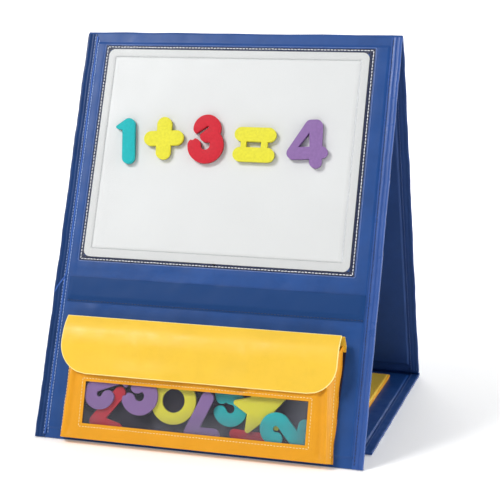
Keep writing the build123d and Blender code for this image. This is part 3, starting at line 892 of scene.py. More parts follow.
class POCKETCHART_OT_front_panel(bpy.types.Operator):
    """Build the front panel's cover, lining, edge bindings and hem folds"""

    bl_idname = "pocket_chart.front_panel"
    bl_label = "Front Panel"

    def execute(self, context):
        seams_u = (OUTER_SEAM[0], OUTER_SEAM[1])
        seams_v = (OUTER_SEAM[2], OUTER_SEAM[3] - 1.5, STRIP[2] + 1.0, STRIP[3])
        cover("front_cover", FRONT, front_height, 1, seams_u, seams_v)
        cover("front_lining", FRONT, waved_height("front", 0.1, 60, 21), -1)
        # The same edge tape is painted darker on the left as shade and lighter on the right as highlight.
        bindings("front", FRONT, FRONT_LENGTH, 1.0, (31, "shaded_hem_vinyl"), (37, "edge_vinyl"))
        ends = (FRONT_FOOT + 3, FRONT_LENGTH - 2)
        edge_seam("front_edge_thread_left", FRONT, "front", ends, (-153.6,), "light_thread", 41, 0.32)
        edge_seam("front_edge_thread_right", FRONT, "front", ends, (154.3,), "dark_thread", 42)
        rear = rear_side(FRONT, FLANGE)
        spots = (-154.5, 154.5)
        edge_seam("front_edge_thread_rear", rear, "front", ends, spots, "blue_thread", 43, lift=0.45)
        self.folds()
        return {"FINISHED"}

    def folds(self):
        """Turned hem along the left edge, with its kink, and the seam rows beside it."""
        upper = [(-151.6, v) for v in lines(409, (166, 4))]
        upper += [(-152.4, 160), (-155.5, 155.5), (-159.6, 149), (-161.8, 143)]
        lower = [(-152.6, 158)] + [(-152.2, v) for v in lines(152, (4, 4))]
        for name, path, seed in (("hem_fold_upper", upper, 51), ("hem_fold_lower", lower, 53)):
            line = np.array([(u, v, 0.0) for u, v in path])
            line[:, 0] += 0.25 * ripple(line[:, 1], line[:, 1] * 0, 38, seed)
            line[:, 2] = np.maximum(front_height(line[:, 0], line[:, 1]), 0.55) + 0.1
            # Painted highlight: the hem fold beads are a lighter blue for the light along the ridge.
            dress(tube(name, FRONT, line, 0.8, flat=0.8), "front", "hem_vinyl")
        rows = runs((-149.6, 406), (-149.6, 5))
        sew("hem_thread", FRONT, "front", rows, front_height, 2.5, 3.0, 0.36, 55, "light_thread")


class POCKETCHART_OT_writing_board(bpy.types.Operator):
    """Build the white writing sheet, its clear overlay and their seams"""

    bl_idname = "pocket_chart.writing_board"
    bl_label = "Writing Board"

    def execute(self, context):
        self.sheet()
        self.painted_shade_strip()
        self.film()
        self.seams()
        dress_node("steel_sheet", "steel_sheet")
        return {"FINISHED"}

    def grid(self, box, radius, height):
        """Rounded grid over a box, with lines close together round the board's seams."""
        return rounded_grid(
            box,
            radius,
            seam_lines(box[0], box[1], 5.0, *SEAMS_U),
            seam_lines(box[2], box[3], 5.0, *SEAMS_V),
            height,
        )

    def sheet(self):
        """White sheet, with a duller rim outside its inner seam."""
        top = self.grid(WRITING, mm(settings().board_corner), white_height)
        sheet = slab("white_writing_sheet", FRONT, top, levelled(top, FACE - 0.3))
        dress(sheet, "front", "white_sheet", ["white_board_sheet"])
        sheet_cut(sheet, 269, 214.5, "stretched", "front_cover_vinyl")
        sheet.data.materials.append(wear("white_rim"))
        for face in sheet.data.polygons:
            u, v = FRONT.read(face.center)
            face.material_index = int(box_distance(u, v, INNER_SEAM) > -1.0)

    def film(self):
        """Clear overlay, with a bead along its cut edge painted lighter blue as the highlight that edge
        catches.
        """
        film = self.grid(FILM, 2.0, film_height)
        obj = slab("writing_overlay_film", FRONT, film, lowered(film, 0.25))
        dress(obj, "front", "clear_vinyl", ["clear_overlay"])
        sheet_cut(obj, 280.4, 224.5, "stretched", "white_writing_sheet")
        rim = np.concatenate([film[:, 0], film[-1, 1:], film[::-1, -1][1:], film[0, ::-1][1:-1]])
        rim[:, 2] -= 0.1
        dress(tube("writing_overlay_edge_highlight", FRONT, rim, 0.3, 6, closed=True), "front", "film_edge")

    def seams(self):
        """Strong outer seam, and a finer inner one that is strong down its right side."""
        foot, right, head, left = box_path(INNER_SEAM)
        rows = (
            ("overlay_outer_thread", box_path(OUTER_SEAM), 2.9, 3.3, 0.46, 61, "white_thread"),
            ("overlay_inner_thread", [foot, head], 1.8, 3.2, 0.3, 63, "board_thread"),
            ("overlay_inner_thread_right", [right], 2.2, 3.2, 0.45, 64, "white_thread"),
            ("overlay_inner_thread_left", [left[::-1]], 1.8, 3.2, 0.3, 65, "board_thread"),
        )
        for name, paths, *rest in rows:
            sew(name, FRONT, "front", paths, film_height, *rest)

    def painted_shade_strip(self):
        """Painted shade: a near-black blue strip in place of the shadow line between the white sheet and its
        outer seam.
        """
        u0, u1, v0, v1 = OUTER_SEAM
        path = np.concatenate([np.linspace(a, b, 90)[:-1] for a, b in box_path(OUTER_SEAM)])
        way = np.sign(np.array([(u0 + u1) / 2, (v0 + v1) / 2]) - path)
        edges = []
        for step in (SHADE_LINE_IN, -SHADE_LINE_OUT):
            low, high = np.array([u0 + step, v0 + step]), np.array([u1 - step, v1 - step])
            edges.append(np.clip(path + way * step, low, high))
        inward, outward = edges
        rows = []
        for edge, lift in ((outward, 0.04), (outward, 0.12), (inward, 0.16), (inward, 0.04)):
            rows.append(np.column_stack([edge, front_height(edge[:, 0], edge[:, 1]) + lift]))
        rows = np.array(rows)
        rows = np.concatenate([rows, rows[:, :1]], 1)
        obj = slab("board_edge_painted_shade", FRONT, rows[[1, 2]], rows[[0, 3]])
        dress(obj, "front", "dark_tape")


STRIP = (-147.0, 151.0, 135.0, 160.0)


def strip_height(u, v):
    """Card strip film: sewn down along its foot and ends, a little open along its top."""
    rise = ramp(v - STRIP[2], 1.5, 7) * ramp(151 - np.abs(u - 2), 0.5, 7)
    return front_height(u, v) + 0.35 + rise * (0.6 + 0.1 * ripple(u, v, 110, 71))


class POCKETCHART_OT_card_strip(bpy.types.Operator):
    """Build the card strip across the front and its seam"""

    bl_idname = "pocket_chart.card_strip"
    bl_label = "Card Strip"

    def execute(self, context):
        us = lines(STRIP[0], (-138, 1.0), (142, 3.0), (STRIP[1], 1.0))
        vs = lines(STRIP[2], (143, 0.8), (STRIP[3], 1.6))
        top = sheet_grid(us, vs, strip_height)
        obj = slab("card_strip_film", FRONT, top, lowered(top, 0.3))
        dress(obj, "front", "strip_film", ["card_strip"])
        sheet_cut(obj, 298, 25, "stretched", "front_cover_vinyl")
        rows = runs((STRIP[0], STRIP[2] + 1.4), (STRIP[1], STRIP[2] + 1.4))
        sew("card_strip_thread", FRONT, "front", rows, strip_height, 2.2, 3.2, 0.28, 73, "dark_thread")
        return {"FINISHED"}


# Storage pocket


WINDOW = (-110.0, 110.0, 14.5, 54.5)
WINDOW_SEAM = (-113.2, 113.2, 11.4, 57.4)
PATCHES = {"left": (-77.0, -51.0), "right": (39.0, 65.0)}
PATCH_ROWS = (70.2, 88.2)
GUSSET_MIDDLE = 132.0


def wall_half(w):
    """Half width of the pocket face at a place up its slope."""
    return 131.5 - 6.0 * w / WALL_LENGTH


def wall_height(u, w):
    """Outer side of the pocket face: full below, pressed flat under the flap, turned back at its edges."""
    full = 1.5 * np.cos(np.clip(u / 132, -1, 1) * math.pi / 2) ** 0.7
    full = full * np.sin(np.clip(w / 84, 0, 1) * math.pi)
    fold = 1.6 * ridge(u, 54 + 0.6 * (w - 60), 4) * ridge(w, 62, 6) - 1.4 * ridge(u, 45, 4) * ridge(w, 61, 5)
    lap = 0.9 * ridge(u, -60, 34) * ridge(w, 64, 5)
    wave = 0.22 * ripple(u, w, 46, 81) * ramp(w, 4, 14) * ramp(74 - w, 0, 10)
    near = wall_half(w) - np.abs(u)
    turn = 1.6 - np.sqrt(np.maximum(2.56 - np.clip(1.6 - near, 0, 1.6) ** 2, 0))
    sides = 0.4 * ridge(near, 2.4, 1.4) - 1.5 * ridge(near, 7.6, 2.8) * ramp(w, 0, 10)
    seam = 0.25 * ridge(box_distance(u, w, WINDOW_SEAM), 0, 1.0)
    return (full + fold + wave + lap) * ramp(near, 0, 12) + sides - 0.8 * turn - seam


def pane_height(u, w):
    """Outer side of the clear window, which lies behind the pocket face."""
    return wall_height(u, w) - SKIN + 0.12 * ripple(u, w, 30, 83)


def gusset_root(v):
    """Half width of the pocket where its gussets are sewn to the panel."""
    return 133.3 + 1.1 * (v - 3) / 110 + 0.35 * ripple(v, 0 * v, 26, 84)


def gusset(side, bulge=1.8):
    """Side gusset of the pocket, from its sewn root to the edge of the face."""
    share = np.linspace(0, 1, 13)
    climb = np.linspace(0, 1, 44)
    s, rise = np.meshgrid(share, climb, indexing="ij")
    v = 3.0 + rise * (95.2 + 15.5 * (1 - s) ** 1.3)
    t = np.minimum((v - 3) / 96, 1.0)
    root = gusset_root(v)
    edge = 131.5 - 6.0 * t
    wall = 12.0 + 7.0 * t - 1.6
    n = 2.0 + (wall - 2.0) * s
    out = bulge * (0.35 + 0.65 * t) * np.sin(math.pi * s) ** 0.8
    out = out * (1 + 0.25 * ripple(s * 20, v, 30, 85 + side))
    u = root + (edge - root) * s + out
    outer = np.stack([side * u, v, n], -1)
    inner = np.stack([side * (u - SKIN), v, n], -1)
    return outer, inner


def patches(kind, body, low, high, seed, node, under):
    """Pair of press-on patches, on the pocket or on its flap."""
    for word, across in PATCHES.items():
        tape = nap_tape(kind + "_patch_" + word, WALL, (*across, *PATCH_ROWS), low, high, seed)
        dress(tape, body, "touch_tape", first(word, node))
        sheet_cut(tape, 26, 18, "laid", under)


class POCKETCHART_OT_storage_pocket(bpy.types.Operator):
    """Build the storage pocket: backing, floor, gussets, face, clear window and seams"""

    bl_idname = "pocket_chart.storage_pocket"
    bl_label = "Storage Pocket"

    def execute(self, context):
        self.face()
        self.window()
        for word, side in SIDES:
            self.side_piece(word, side)
        self.backing()
        self.floor()
        patches("loop", "front", 0.0, 0.98, 173, "pocket_loop_patches", "pocket_face_vinyl")
        return {"FINISHED"}

    def face(self):
        """Face of the pocket, with the window cut out of it."""
        share = [np.linspace(-1, 1, 121), np.linspace(-1, -0.95, 9), np.linspace(0.95, 1, 9)]
        share = np.unique(np.concatenate(share))
        ws = lines(0, (WINDOW[2], 1.1), (WINDOW[3], 1.6), (WALL_LENGTH, 1.6))
        w = np.broadcast_to(ws[None, :], (len(share), len(ws)))
        u = share[:, None] * wall_half(ws)[None, :]
        right = np.argmin(np.abs(share - WINDOW[1] / wall_half((WINDOW[2] + WINDOW[3]) / 2)))
        left = len(share) - 1 - right
        band = (ws > WINDOW[2] - 1e-6) & (ws < WINDOW[3] + 1e-6)
        u[left, band], u[right, band] = WINDOW[0], WINDOW[1]
        top = np.stack([u, w, wall_height(u, w)], -1)
        keep = np.ones((len(share) - 1, len(ws) - 1), bool)
        keep[left:right] &= ~(band[:-1] & band[1:])[None, :]
        obj = slab("pocket_face_vinyl", WALL, top, lowered(top, SKIN), keep)
        dress(obj, "front", "deep_yellow_vinyl", ["pocket_face"])

    def window(self):
        """Clear window behind the face, and the seam round it."""
        us = lines(WINDOW[0] - 4, (WINDOW[1] + 4, 2.4))
        ws = lines(WINDOW[2] - 4, (WINDOW[3] + 4, 2.0))
        pane = sheet_grid(us, ws, pane_height)
        obj = slab("pocket_window_film", WALL, pane, lowered(pane, 0.35))
        dress(obj, "front", "window_film", ["pocket_window"])
        sheet_cut(obj, 228, 48, "stretched", "pocket_face_vinyl")
        seam = box_path(WINDOW_SEAM)
        sew("window_thread", WALL, "front", seam, wall_height, 2.0, 3.0, 0.3, 87, "yellow_thread")

    def side_piece(self, word, side):
        """One gusset, its flange on the panel and its two seams."""
        outer, inner = gusset(side)
        obj = slab("pocket_gusset_" + word, FRONT, outer, inner)
        dress(obj, "front", "deep_yellow_vinyl", first(word, "pocket_gussets"))
        sheet_cut(obj, 17, 103, "hung", "front_cover_vinyl")
        vs = lines(3.0, (114.0, 3.0))
        root = gusset_root(vs)
        u = np.stack([root - 1.6, root - 0.2, root + 1.1])
        v = np.broadcast_to(vs[None, :], u.shape)
        lift = np.array([1.2, 1.1, 0.5])[:, None] + 0.1 * ripple(u, v, 20, 91)
        sewn = front_height(side * u, v)
        top, under = (np.stack([side * u, v, n], -1) for n in (sewn + lift, sewn - 0.1))
        dress(slab("gusset_flange_" + word, FRONT, top, under), "front", "deep_yellow_vinyl")
        self.fold_seam(word, side, outer[7, np.linspace(2, 41, 30).astype(int)])
        path = [[(side * (r + 0.1), y) for r, y in zip(root, vs)]]
        over = lambda a, b: front_height(a, b) + 1.1
        sew("gusset_thread_" + word, FRONT, "front", path, over, 2.1, 3.2, 0.28, 93 + side, "amber_thread")

    def fold_seam(self, word, side, along):
        """Stitches up the middle of a gusset."""
        spot = FRONT.place((side * GUSSET_MIDDLE, 0, 0)) / MM
        outward = Panel(spot, -side * FRONT.normal, side * FRONT.across)
        path = [[(-side * n, v) for _, v, n in along]]
        over = lambda a, b: np.interp(b, along[:, 1], np.abs(along[:, 0])) - GUSSET_MIDDLE
        name = "gusset_fold_thread_" + word
        sew(name, outward, "front", path, over, 2.0, 3.0, 0.28, 97 + side, "yellow_thread")

    def backing(self):
        """Sheet behind the loose figures, in near-black purple-brown that is painted shade inside the pocket
        with painted orange bounce light in it.
        """
        vs = lines(3.0, (110.0, 3.0))
        half = 133.5 + 4.0 * (vs - 3) / 107
        u = np.linspace(-1, 1, 61)[:, None] * half[None, :]
        v = np.broadcast_to(vs[None, :], u.shape)
        top = np.stack([u, v, np.full(u.shape, FACE + SKIN)], -1)
        obj = slab("pocket_backing_vinyl", FRONT, top, levelled(top, FACE - 0.35))
        dress(obj, "front", "pocket_shade", ["pocket_backing"])
        sheet_cut(obj, 275, 107, "laid", "front_cover_vinyl")

    def floor(self):
        """Sagging floor of the pocket."""
        u, n = np.meshgrid(lines(-131.2, (131.2, 3.0)), lines(2.0, (11.6, 0.8)), indexing="ij")
        sag = 0.5 * np.sin((n - 2.0) / 9.6 * math.pi)
        top = np.stack([u, 3.8 - sag * 0.3, n], -1)
        under = np.stack([u, 3.0 - sag * 0.6, n], -1)
        obj = slab("pocket_floor_vinyl", FRONT, top, under)
        dress(obj, "front", "deep_yellow_vinyl", ["pocket_floor"])


# Pocket flap
FLAP_HALF = 137.5
FLAP_THICK = 0.9


def flap_profile(count=46):
    """Middle line of the hanging flap as (v, n) points from its crease to its hem."""
    wall = lambda v: 12.0 + 7.0 * (v - 3) / 96
    crest, knee, hem = (119.5, 14.0), (100.2, wall(99.9) + 2.75), (64.4, wall(64.4) + 2.6)
    controls = [
        crest,
        (crest[0] - 4.5, crest[1] + 3.0),
        (knee[0] + 7.5, knee[1] - 1.1),
        knee,
        (knee[0] - 6.5, knee[1] + 0.5),
        (hem[0] + 14, hem[1] + 1.2),
        hem,
    ]
    return easy_line(controls, count, 14)


class POCKETCHART_OT_pocket_flap(bpy.types.Operator):
    """Build the hanging flap, its sewn root, its edge bead and its press-on patches"""

    bl_idname = "pocket_chart.pocket_flap"
    bl_label = "Pocket Flap"

    def execute(self, context):
        line, at = flap_profile()
        radius = mm(settings().flap_corner)
        short = np.clip(radius - (at[-1] - at), 0, radius)
        half = FLAP_HALF - radius + np.sqrt(np.maximum(radius**2 - short**2, 0))
        half[-1] = FLAP_HALF - radius
        share = 0.6 * np.linspace(-1, 1, 91) + 0.4 * np.sin(np.linspace(-math.pi / 2, math.pi / 2, 91))
        ahead = np.gradient(line, axis=0)
        ahead /= np.linalg.norm(ahead, axis=1)[:, None]
        out = np.stack([-ahead[:, 1], ahead[:, 0]], 1)
        out *= np.sign(out[:, 1:2])
        u = share[:, None] * half[None, :]
        u = u - 3.2 * ramp(u, 40, 137)
        lift = self.lift(u, np.broadcast_to(at[None, :] / at[-1], u.shape))
        middle = np.stack([u, line[:, 0] + lift * out[:, 0], line[:, 1] + lift * out[:, 1]], -1)
        side = np.stack([0 * u, 0 * u + out[:, 0], 0 * u + out[:, 1]], -1) * FLAP_THICK / 2
        obj = slab("pocket_flap_vinyl", FRONT, middle + side, middle - side)
        dress(obj, "flap", "yellow_vinyl", ["pocket_flap"])
        sheet_cut(obj, 2 * FLAP_HALF, 58, "hung", "flap_root_vinyl")
        rim = np.concatenate([middle[0], middle[1:, -1], middle[-1, ::-1][1:]])
        # The crest bead is partly paler vinyl along the fold and partly painted highlight from the top light;
        # the edge bead is the cut edge's own paler colour.
        for name, path, radius in (("flap_crest_highlight", middle[:, 0], 0.55), ("flap_edge_bead", rim, 0.62)):
            dress(tube(name, FRONT, path, radius), "flap", "flap_edge")
        patches("hook", "flap", 2.1, 1.12, 175, "flap_hook_patches", "pocket_flap_vinyl")
        self.root()
        return {"FINISHED"}

    def lift(self, u, drop):
        """How far the hanging flap stands off its middle line."""
        glints = 1.0 * ridge(u, -58 + 16 * (drop - 0.6), 3.2) * ridge(drop, 0.62, 0.18)
        glints = glints + 1.1 * ridge(u, 49 + 12 * (drop - 0.6), 3.2) * ridge(drop, 0.6, 0.2)
        glints = glints + 0.8 * ridge(u, 108 + 6 * (drop - 0.6), 4.5) * ridge(drop, 0.66, 0.25)
        gape = (3.2 * ridge(u, -50, 46) + 1.8 * ridge(u, 34, 26)) * ramp(drop, 0.62, 1.0)
        crown = 0.5 * np.sin(math.pi * drop) * (1 - (u / 138) ** 2)
        wave = 0.3 * ripple(u, drop * 60, 60, 101) * ramp(drop, 0.05, 0.3)
        return np.maximum(glints + gape + crown + wave, -0.2)

    def root(self):
        """Sewn strip that carries the flap, from the panel up to the crease."""
        points = [(106.0, 2.45), (110.0, 2.5), (111.8, 3.2), (113.4, 5.2), (116.0, 9.0), (118.85, 13.2)]
        line, _ = easy_line(points, 20)
        obj = bent_sheet("flap_root_vinyl", FRONT, lines(-FLAP_HALF, (FLAP_HALF, 3.0)), line, SKIN)
        dress(obj, "front", "yellow_vinyl", ["pocket_flap_root"])
        sheet_cut(obj, 2 * FLAP_HALF, 19, "hung", "pocket_backing_vinyl")
        over = lambda a, b: 2.9 + 0 * a
        rows = runs((-136, 108), (136, 108))
        sew("flap_root_thread", FRONT, "front", rows, over, 2.1, 3.2, 0.26, 103, "amber_thread")


# Foam figures


def soft_figure(name, node, body, colour):
    """Foam figure with its cut edges eased, made from the node's own outline."""
    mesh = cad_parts[node].data.copy()
    mesh.name = name
    work = bmesh.new()
    work.from_mesh(mesh)
    bmesh.ops.remove_doubles(work, verts=work.verts, dist=2e-6)
    bmesh.ops.dissolve_limit(work, angle_limit=math.radians(1.5), verts=work.verts, edges=work.edges)
    rims = [e for e in work.edges if len(e.link_faces) == 2 and e.calc_face_angle(0) > math.radians(60)]
    bmesh.ops.bevel(
        work,
        geom=rims,
        offset=settings().foam_edge,
        offset_type="OFFSET",
        segments=3,
        profile=0.5,
        affect="EDGES",
        clamp_overlap=True,
    )
    bmesh.ops.triangulate(work, faces=[f for f in work.faces if len(f.verts) > 4])
    bmesh.ops.recalc_face_normals(work, faces=work.faces)
    work.to_mesh(mesh)
    work.free()
    mesh.shade_smooth()
    mesh.set_sharp_from_angle(angle=math.radians(50))
    obj = bpy.data.objects.new(name, mesh)
    bpy.context.scene.collection.objects.link(obj)
    dress(obj, body, colour + "_foam", [node])


FIGURES = {"one": "teal", "plus": "yellow", "three": "red", "equals": "yellow", "four": "purple"}


class POCKETCHART_OT_numerals(bpy.types.Operator):
    """Build the five magnetic foam figures on the writing board"""

    bl_idname = "pocket_chart.numerals"
    bl_label = "Numerals"

    def execute(self, context):
        for figure, colour in FIGURES.items():
            soft_figure(figure + "_soft_foam", figure + "_foam", figure, colour)
            dress_node(figure + "_magnet", "magnet_rubber")
        return {"FINISHED"}


class POCKETCHART_OT_loose_figures(bpy.types.Operator):
    """Build the foam figures that lie in the storage pocket"""

    bl_idname = "pocket_chart.loose_figures"
    bl_label = "Loose Figures"

    def execute(self, context):
        for colour in ("purple", "red", "yellow", "teal"):
            node = "loose_" + colour + "_figures"
            soft_figure(node + "_soft", node, "front", colour)
        return {"FINISHED"}


# Spine, back and base


SPINE_AXIS = 380.8
SPINE_LEAN = 0.06


class POCKETCHART_OT_top_spine(bpy.types.Operator):
    """Finish the vinyl that wraps over the top fold"""

    bl_idname = "pocket_chart.top_spine"
    bl_label = "Top Spine"

    def execute(self, context):
        turns = np.linspace(BACK_LEAN - SPINE_LEAN, math.pi - FRONT_LEAN + SPINE_LEAN, 22)
        us = lines(-HALF_WIDTH + 0.5, (HALF_WIDTH - 0.5, 3.0))
        u, a = np.meshgrid(us, turns, indexing="ij")
        outer = 3.5 + 0.3 * ripple(u, a * 10, 50, 111)
        spine = Panel((0, 0, SPINE_AXIS), (1, 0, 0), (0, 0, 1))
        top = np.stack([u, outer * np.cos(a), outer * np.sin(a)], -1)
        under = np.stack([u, 2.85 * np.cos(a), 2.85 * np.sin(a)], -1)
        obj = slab("top_spine_vinyl", spine, top, under)
        dress(obj, "front", "blue_vinyl", ["top_spine"])
        sheet_cut(obj, 324.3, 10, "folded", "spine_lining")
        turns = BACK_LEAN + np.radians(np.linspace(0, 57.5, 14))
        line = np.stack([2.22 * np.cos(turns), 2.22 * np.sin(turns)], 1)
        us = lines(-HALF_WIDTH + 0.6, (HALF_WIDTH - 0.6, 4.0))
        obj = bent_sheet("spine_lining_vinyl", spine, us, line, 0.42, 0.05, 113)
        dress(obj, "back", "inner_blue_vinyl", ["spine_lining"])
        return {"FINISHED"}


back_height = waved_height("back", 0.12, 80, 121)
CARD_HALF = 139.35
CARD_FOOT = 38.0
CARD_PITCH = 88.0
CARD_TALL = 70.0
CARD_SEAM = 1.4


class POCKETCHART_OT_back_panel(bpy.types.Operator):
    """Build the back panel's cover, lining, bindings, clear card pockets and rear hinge"""

    bl_idname = "pocket_chart.back_panel"
    bl_label = "Back Panel"

    def execute(self, context):
        cover("back_cover", BACK, back_height)
        cover("back_lining", BACK, waved_height("back", 0.2, 70, 123), -1)
        bindings("back", BACK, BACK_LENGTH, 0.25, (131, "inner_blue_vinyl"), (133, "inner_blue_vinyl"))
        ends = (BACK_FOOT + 2, BACK_LENGTH - 2)
        edge_seam("back_edge_thread", BACK, "back", ends, (-154.5, 154.5), "blue_thread", 135)
        inner = rear_side(BACK, FLANGE)
        edge_seam("back_edge_thread_inner", inner, "back", ends, (-154.5, 154.5), "blue_thread", 137)
        for number in range(4):
            self.card_pocket(number)
        self.hinge()
        return {"FINISHED"}

    def hinge(self):
        """Rolled seam on the floor and the web that joins it to the panel's foot."""
        roll, radius, foot = np.array([0.0, 4.7]), 1.95, np.array([8.2, -0.9])
        way = (foot - roll) / np.linalg.norm(foot - roll)
        side = np.array([-way[1], way[0]])
        start = math.atan2(way[1], way[0])
        round_it = start + np.radians(np.linspace(34, 326, 17))
        circle = roll + radius * np.stack([np.cos(round_it), np.sin(round_it)], 1)
        ring = np.concatenate([[foot + 0.4 * side], circle, [foot - 0.4 * side]])
        us = lines(-HALF_WIDTH + 0.5, (HALF_WIDTH - 0.5, 3.0))
        slack = 0.12 * ripple(us, 0 * us, 34, 139)
        rings = [[(u, v, n + w * (v < 6)) for v, n in ring] for u, w in zip(us, slack)]
        obj = loft("rear_hinge_vinyl", BACK, rings)
        dress(obj, "back", "blue_vinyl", ["rear_hinge"])

    def card_pocket(self, number):
        """One clear card pocket, open along its top."""
        foot = CARD_FOOT + CARD_PITCH * number

        def height(u, v):
            rise = ramp(v - foot, 1.5, 6) * ramp(CARD_HALF - np.abs(u), 0.5, 6)
            return back_height(u, v) + 0.3 + rise * (0.6 + 0.18 * ripple(u, v, 70, 141 + number))

        us = lines(-CARD_HALF, (-CARD_HALF + 7, 1.0), (CARD_HALF - 7, 3.5), (CARD_HALF, 1.0))
        vs = lines(foot, (foot + 7, 1.0), (foot + CARD_TALL, 3.0))
        top = sheet_grid(us, vs, height)
        word = str(number + 1)
        obj = slab("back_card_film_" + word, BACK, top, lowered(top, 0.28))
        dress(obj, "back", "clear_vinyl", ["back_card_pocket_" + word])
        sheet_cut(obj, 2 * CARD_HALF, CARD_TALL, "stretched", "back_cover_vinyl")
        side, low, high = CARD_HALF - CARD_SEAM, foot + CARD_SEAM, foot + CARD_TALL
        path = runs((-side, high), (-side, low), (side, low), (side, high))
        name = "back_card_thread_" + word
        sew(name, BACK, "back", path, height, 2.2, 3.3, 0.28, 145 + number, "white_thread")


base_height = waved_height("base", 0.12, 75, 151)
BASE_POCKET = (-133.5, 133.5, 3.0, 123.0)
CLOSURE_TAPE = (-151.3, 151.3, 13.0, 31.0)


class POCKETCHART_OT_base_panel(bpy.types.Operator):
    """Build the base panel's cover, bindings, flat pocket and closure strip"""

    bl_idname = "pocket_chart.base_panel"
    bl_label = "Base Panel"

    def execute(self, context):
        cover("base_cover", BASE, base_height)
        cover("base_underside", BASE, lambda u, v: np.minimum(base_height(u, v), FACE), -1)
        bindings("base", BASE, BASE_REAR - 0.4, 0.2, (153, "blue_vinyl"), (157, "blue_vinyl"))
        ends = (BASE_FRONT + 2, BASE_REAR - 3)
        edge_seam("base_edge_thread", BASE, "base", ends, (-154.5, 154.5), "blue_thread", 159)
        self.pocket()
        self.closure()
        return {"FINISHED"}

    def pocket(self):
        """Flat pocket on the base: face, backing, three low walls and the seam."""
        _, half, front, rear = BASE_POCKET
        us = lines(-half, (-half + 8, 0.8), (half - 8, 3.0), (half, 0.8))
        vs = lines(front, (front + 4, 0.8), (rear - 8, 3.0), (rear, 0.8))

        def height(u, v):
            sides = np.clip(half - np.abs(u), 0, 4) / 4
            tail = np.clip(rear - v, 0, 4) / 4
            drop = 1.1 * (1 - np.sqrt(1 - (1 - np.minimum(sides, tail)) ** 2))
            return FACE + 5.2 - drop + 0.3 * ripple(u, v, 60, 161)

        def backing_height(u, v):
            return FACE + 0.74 + 0.06 * ripple(u, v, 45, 165)

        top = sheet_grid(us, vs, height)
        face = slab("base_pocket_face_vinyl", BASE, top, lowered(top, SKIN))
        # Painted light: the face gets a brighter yellow than the other pocket pieces, for light that does not
        # reach it.
        dress(face, "base", "base_yellow_vinyl", ["base_pocket_face"])
        sheet_cut(face, 267, 120, "laid", "base_pocket_side_left")
        top = sheet_grid(us, vs, backing_height)
        back = slab("base_pocket_backing_vinyl", BASE, top, levelled(top, FACE - 0.15))
        dress(back, "base", "deep_yellow_vinyl", ["base_pocket_backing"])
        sheet_cut(back, 267, 120, "laid", "base_cover_vinyl")
        for word, side in SIDES:
            nodes = first(word, "base_pocket_gussets")
            self.wall("base_pocket_side_" + word, (front, rear), half, side, nodes)
        self.wall("base_pocket_rear", (-half + 1, half - 1), rear, 0)
        seam = (half - 2.2, rear - 2.2)
        path = runs((seam[0], front), seam, (-seam[0], seam[1]), (-seam[0], front))
        sew("base_pocket_thread", BASE, "base", path, height, 2.1, 3.2, 0.28, 163, "amber_thread")

    def wall(self, name, span, edge, side, nodes=()):
        """Low bellied wall of the flat pocket, at its left (-1), its right (1) or its rear (0)."""
        rows = np.linspace(FACE + SKIN, FACE + 4.3, 6)
        along, n = np.meshgrid(lines(span[0], (span[1], 3.0)), rows, indexing="ij")
        belly = 0.7 * np.sin((n - 2.0) / 3.5 * math.pi)
        grids = []
        for out in (edge + 0.1 + belly, edge - SKIN + belly):
            grids.append(np.stack([side * out, along, n] if side else [along, out, n], -1))
        dress(slab(name, BASE, *grids), "base", "deep_yellow_vinyl", nodes)

    def closure(self):
        """Strip that joins the base to the front's foot, and its hook tape."""
        floor = Panel((0, 0, 0), (1, 0, 0), (0, 0, 1))
        line, _ = easy_line([(-106.0, 0.8), (-150.43, 0.8), (-140.0, 26.85)], 60, 26)
        us = lines(CLOSURE_TAPE[0], (CLOSURE_TAPE[1], 3.0))
        strip = bent_sheet("closure_strip_vinyl", floor, us, line, 0.78, 0.14, 167)
        # Painted highlight: the strip's lighter blue stands for the light on its fold.
        dress(strip, "base", "hem_vinyl", ["closure_strip"])
        sheet_cut(strip, 302.7, 70, "folded", "base_underside_vinyl")
        closure_tape("hook", "base", 4.75, 3.9, 169, "closure_strip_vinyl")


def closure_tape(kind, body, low, high, seed, under):
    """Long strip of hook or loop tape across the inner side of the front's foot."""
    tape = nap_tape("closure_" + kind + "_nap", rear_side(FRONT), CLOSURE_TAPE, low, high, seed)
    dress(tape, body, "touch_tape", ["closure_" + kind + "_tape"])
    sheet_cut(tape, 302.7, 18, "laid", under)


class POCKETCHART_OT_inner_layers(bpy.types.Operator):
    """Finish the boards and tapes inside the panels"""

    bl_idname = "pocket_chart.inner_layers"
    bl_label = "Inner Layers"

    def execute(self, context):
        for node in ("front_board", "back_board", "base_board"):
            dress_node(node, "greyboard")
        closure_tape("loop", "front", 2.7, 3.68, 171, "front_lining_vinyl")
        return {"FINISHED"}


# Settings, panel and registration


def colour_property(name, description, default):
    """Colour of one finish."""
    return FloatVectorProperty(
        name=name, description=description, default=default, subtype="COLOR", min=0, max=1
    )


def length_property(name, description, default, least):
    """Size of one detail."""
    return FloatProperty(name=name, description=description, default=default, unit="LENGTH", min=least)


def power_property(name, description, default):
    """Power of one light."""
    return FloatProperty(name=name, description=description, default=default, unit="POWER", min=0)


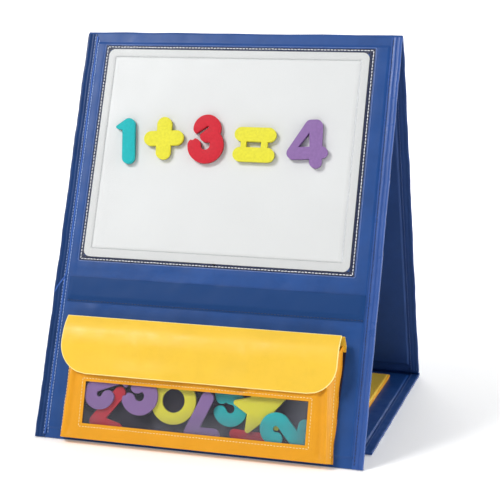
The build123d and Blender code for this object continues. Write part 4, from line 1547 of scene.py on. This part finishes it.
class PocketChartSettings(bpy.types.PropertyGroup):
    """Sizes, colours and light levels of the chart."""

    blue: colour_property("Blue Vinyl", "Outer covers", (0.012, 0.066, 0.255))
    inner_blue: colour_property("Inner Blue Vinyl", "Linings and underside", (0.020, 0.062, 0.215))
    # Painted highlight: the lit blue of the right binding, lightened further for the hem folds and the
    # closure strip.
    highlight_blue: colour_property("Edge Vinyl", "Edge bindings and hem folds", (0.036, 0.098, 0.340))
    yellow: colour_property("Yellow Vinyl", "Pocket flap", (0.900, 0.570, 0.050))
    deep_yellow: colour_property("Deep Yellow Vinyl", "Storage pocket", (0.800, 0.345, 0.012))
    board: colour_property("Writing Sheet", "White writing sheet", (0.760, 0.770, 0.765))
    teal: colour_property("Teal Foam", "Teal figures", (0.012, 0.450, 0.475))
    lemon: colour_property("Yellow Foam", "Yellow figures", (0.770, 0.720, 0.045))
    red: colour_property("Red Foam", "Red figures", (0.600, 0.018, 0.035))
    purple: colour_property("Purple Foam", "Purple figures", (0.265, 0.150, 0.375))
    board_corner: length_property("Board Corner", "Corner radius of the writing sheet", 0.0065, 0.001)
    flap_corner: length_property("Flap Corner", "Radius of the flap's lower corners", 0.027, 0.004)
    foam_edge: length_property("Foam Edge", "Easing of the foam figures' cut edges", 0.0004, 0.0001)
    key: power_property("Key Light", "Power of the key light", 67.0)
    right: power_property("Right Light", "Power of the right softbox", 27.0)
    top: power_property("Top Light", "Power of the top light", 3.0)
    backdrop: power_property("Backdrop Light", "Power of the light on the backdrop", 42.0)
    air: FloatProperty(name="Air", description="Brightness of the surroundings", default=0.31, min=0)
    floor_glow: FloatProperty(
        name="Floor Glow", description="Faint light of the floor paper", default=0.17, min=0
    )


class POCKETCHART_PT_pieces(bpy.types.Panel):
    """Lists the chart's settings and the steps that build it"""

    bl_label = "Pocket Chart"
    bl_idname = "POCKETCHART_PT_pieces"
    bl_space_type = "VIEW_3D"
    bl_region_type = "UI"
    bl_category = "Pocket Chart"

    def draw(self, context):
        for step in STEPS:
            self.layout.operator(step.bl_idname)
        for name in PocketChartSettings.__annotations__:
            self.layout.prop(context.scene.pocket_chart, name)


STEPS = (
    POCKETCHART_OT_stage,
    POCKETCHART_OT_front_panel,
    POCKETCHART_OT_writing_board,
    POCKETCHART_OT_card_strip,
    POCKETCHART_OT_storage_pocket,
    POCKETCHART_OT_pocket_flap,
    POCKETCHART_OT_numerals,
    POCKETCHART_OT_loose_figures,
    POCKETCHART_OT_top_spine,
    POCKETCHART_OT_back_panel,
    POCKETCHART_OT_base_panel,
    POCKETCHART_OT_inner_layers,
)


def register():
    """Register the chart's classes and its settings."""
    for made in (PocketChartSettings, *STEPS, POCKETCHART_PT_pieces):
        bpy.utils.register_class(made)
    bpy.types.Scene.pocket_chart = PointerProperty(type=PocketChartSettings)


def unregister():
    """Take the chart's classes and its settings away again."""
    del bpy.types.Scene.pocket_chart
    for made in reversed((PocketChartSettings, *STEPS, POCKETCHART_PT_pieces)):
        bpy.utils.unregister_class(made)


def main():
    """Build every piece in order."""
    register()
    for step in STEPS:
        group, name = step.bl_idname.split(".")
        getattr(getattr(bpy.ops, group), name)()


if __name__ == "__main__":
    main()
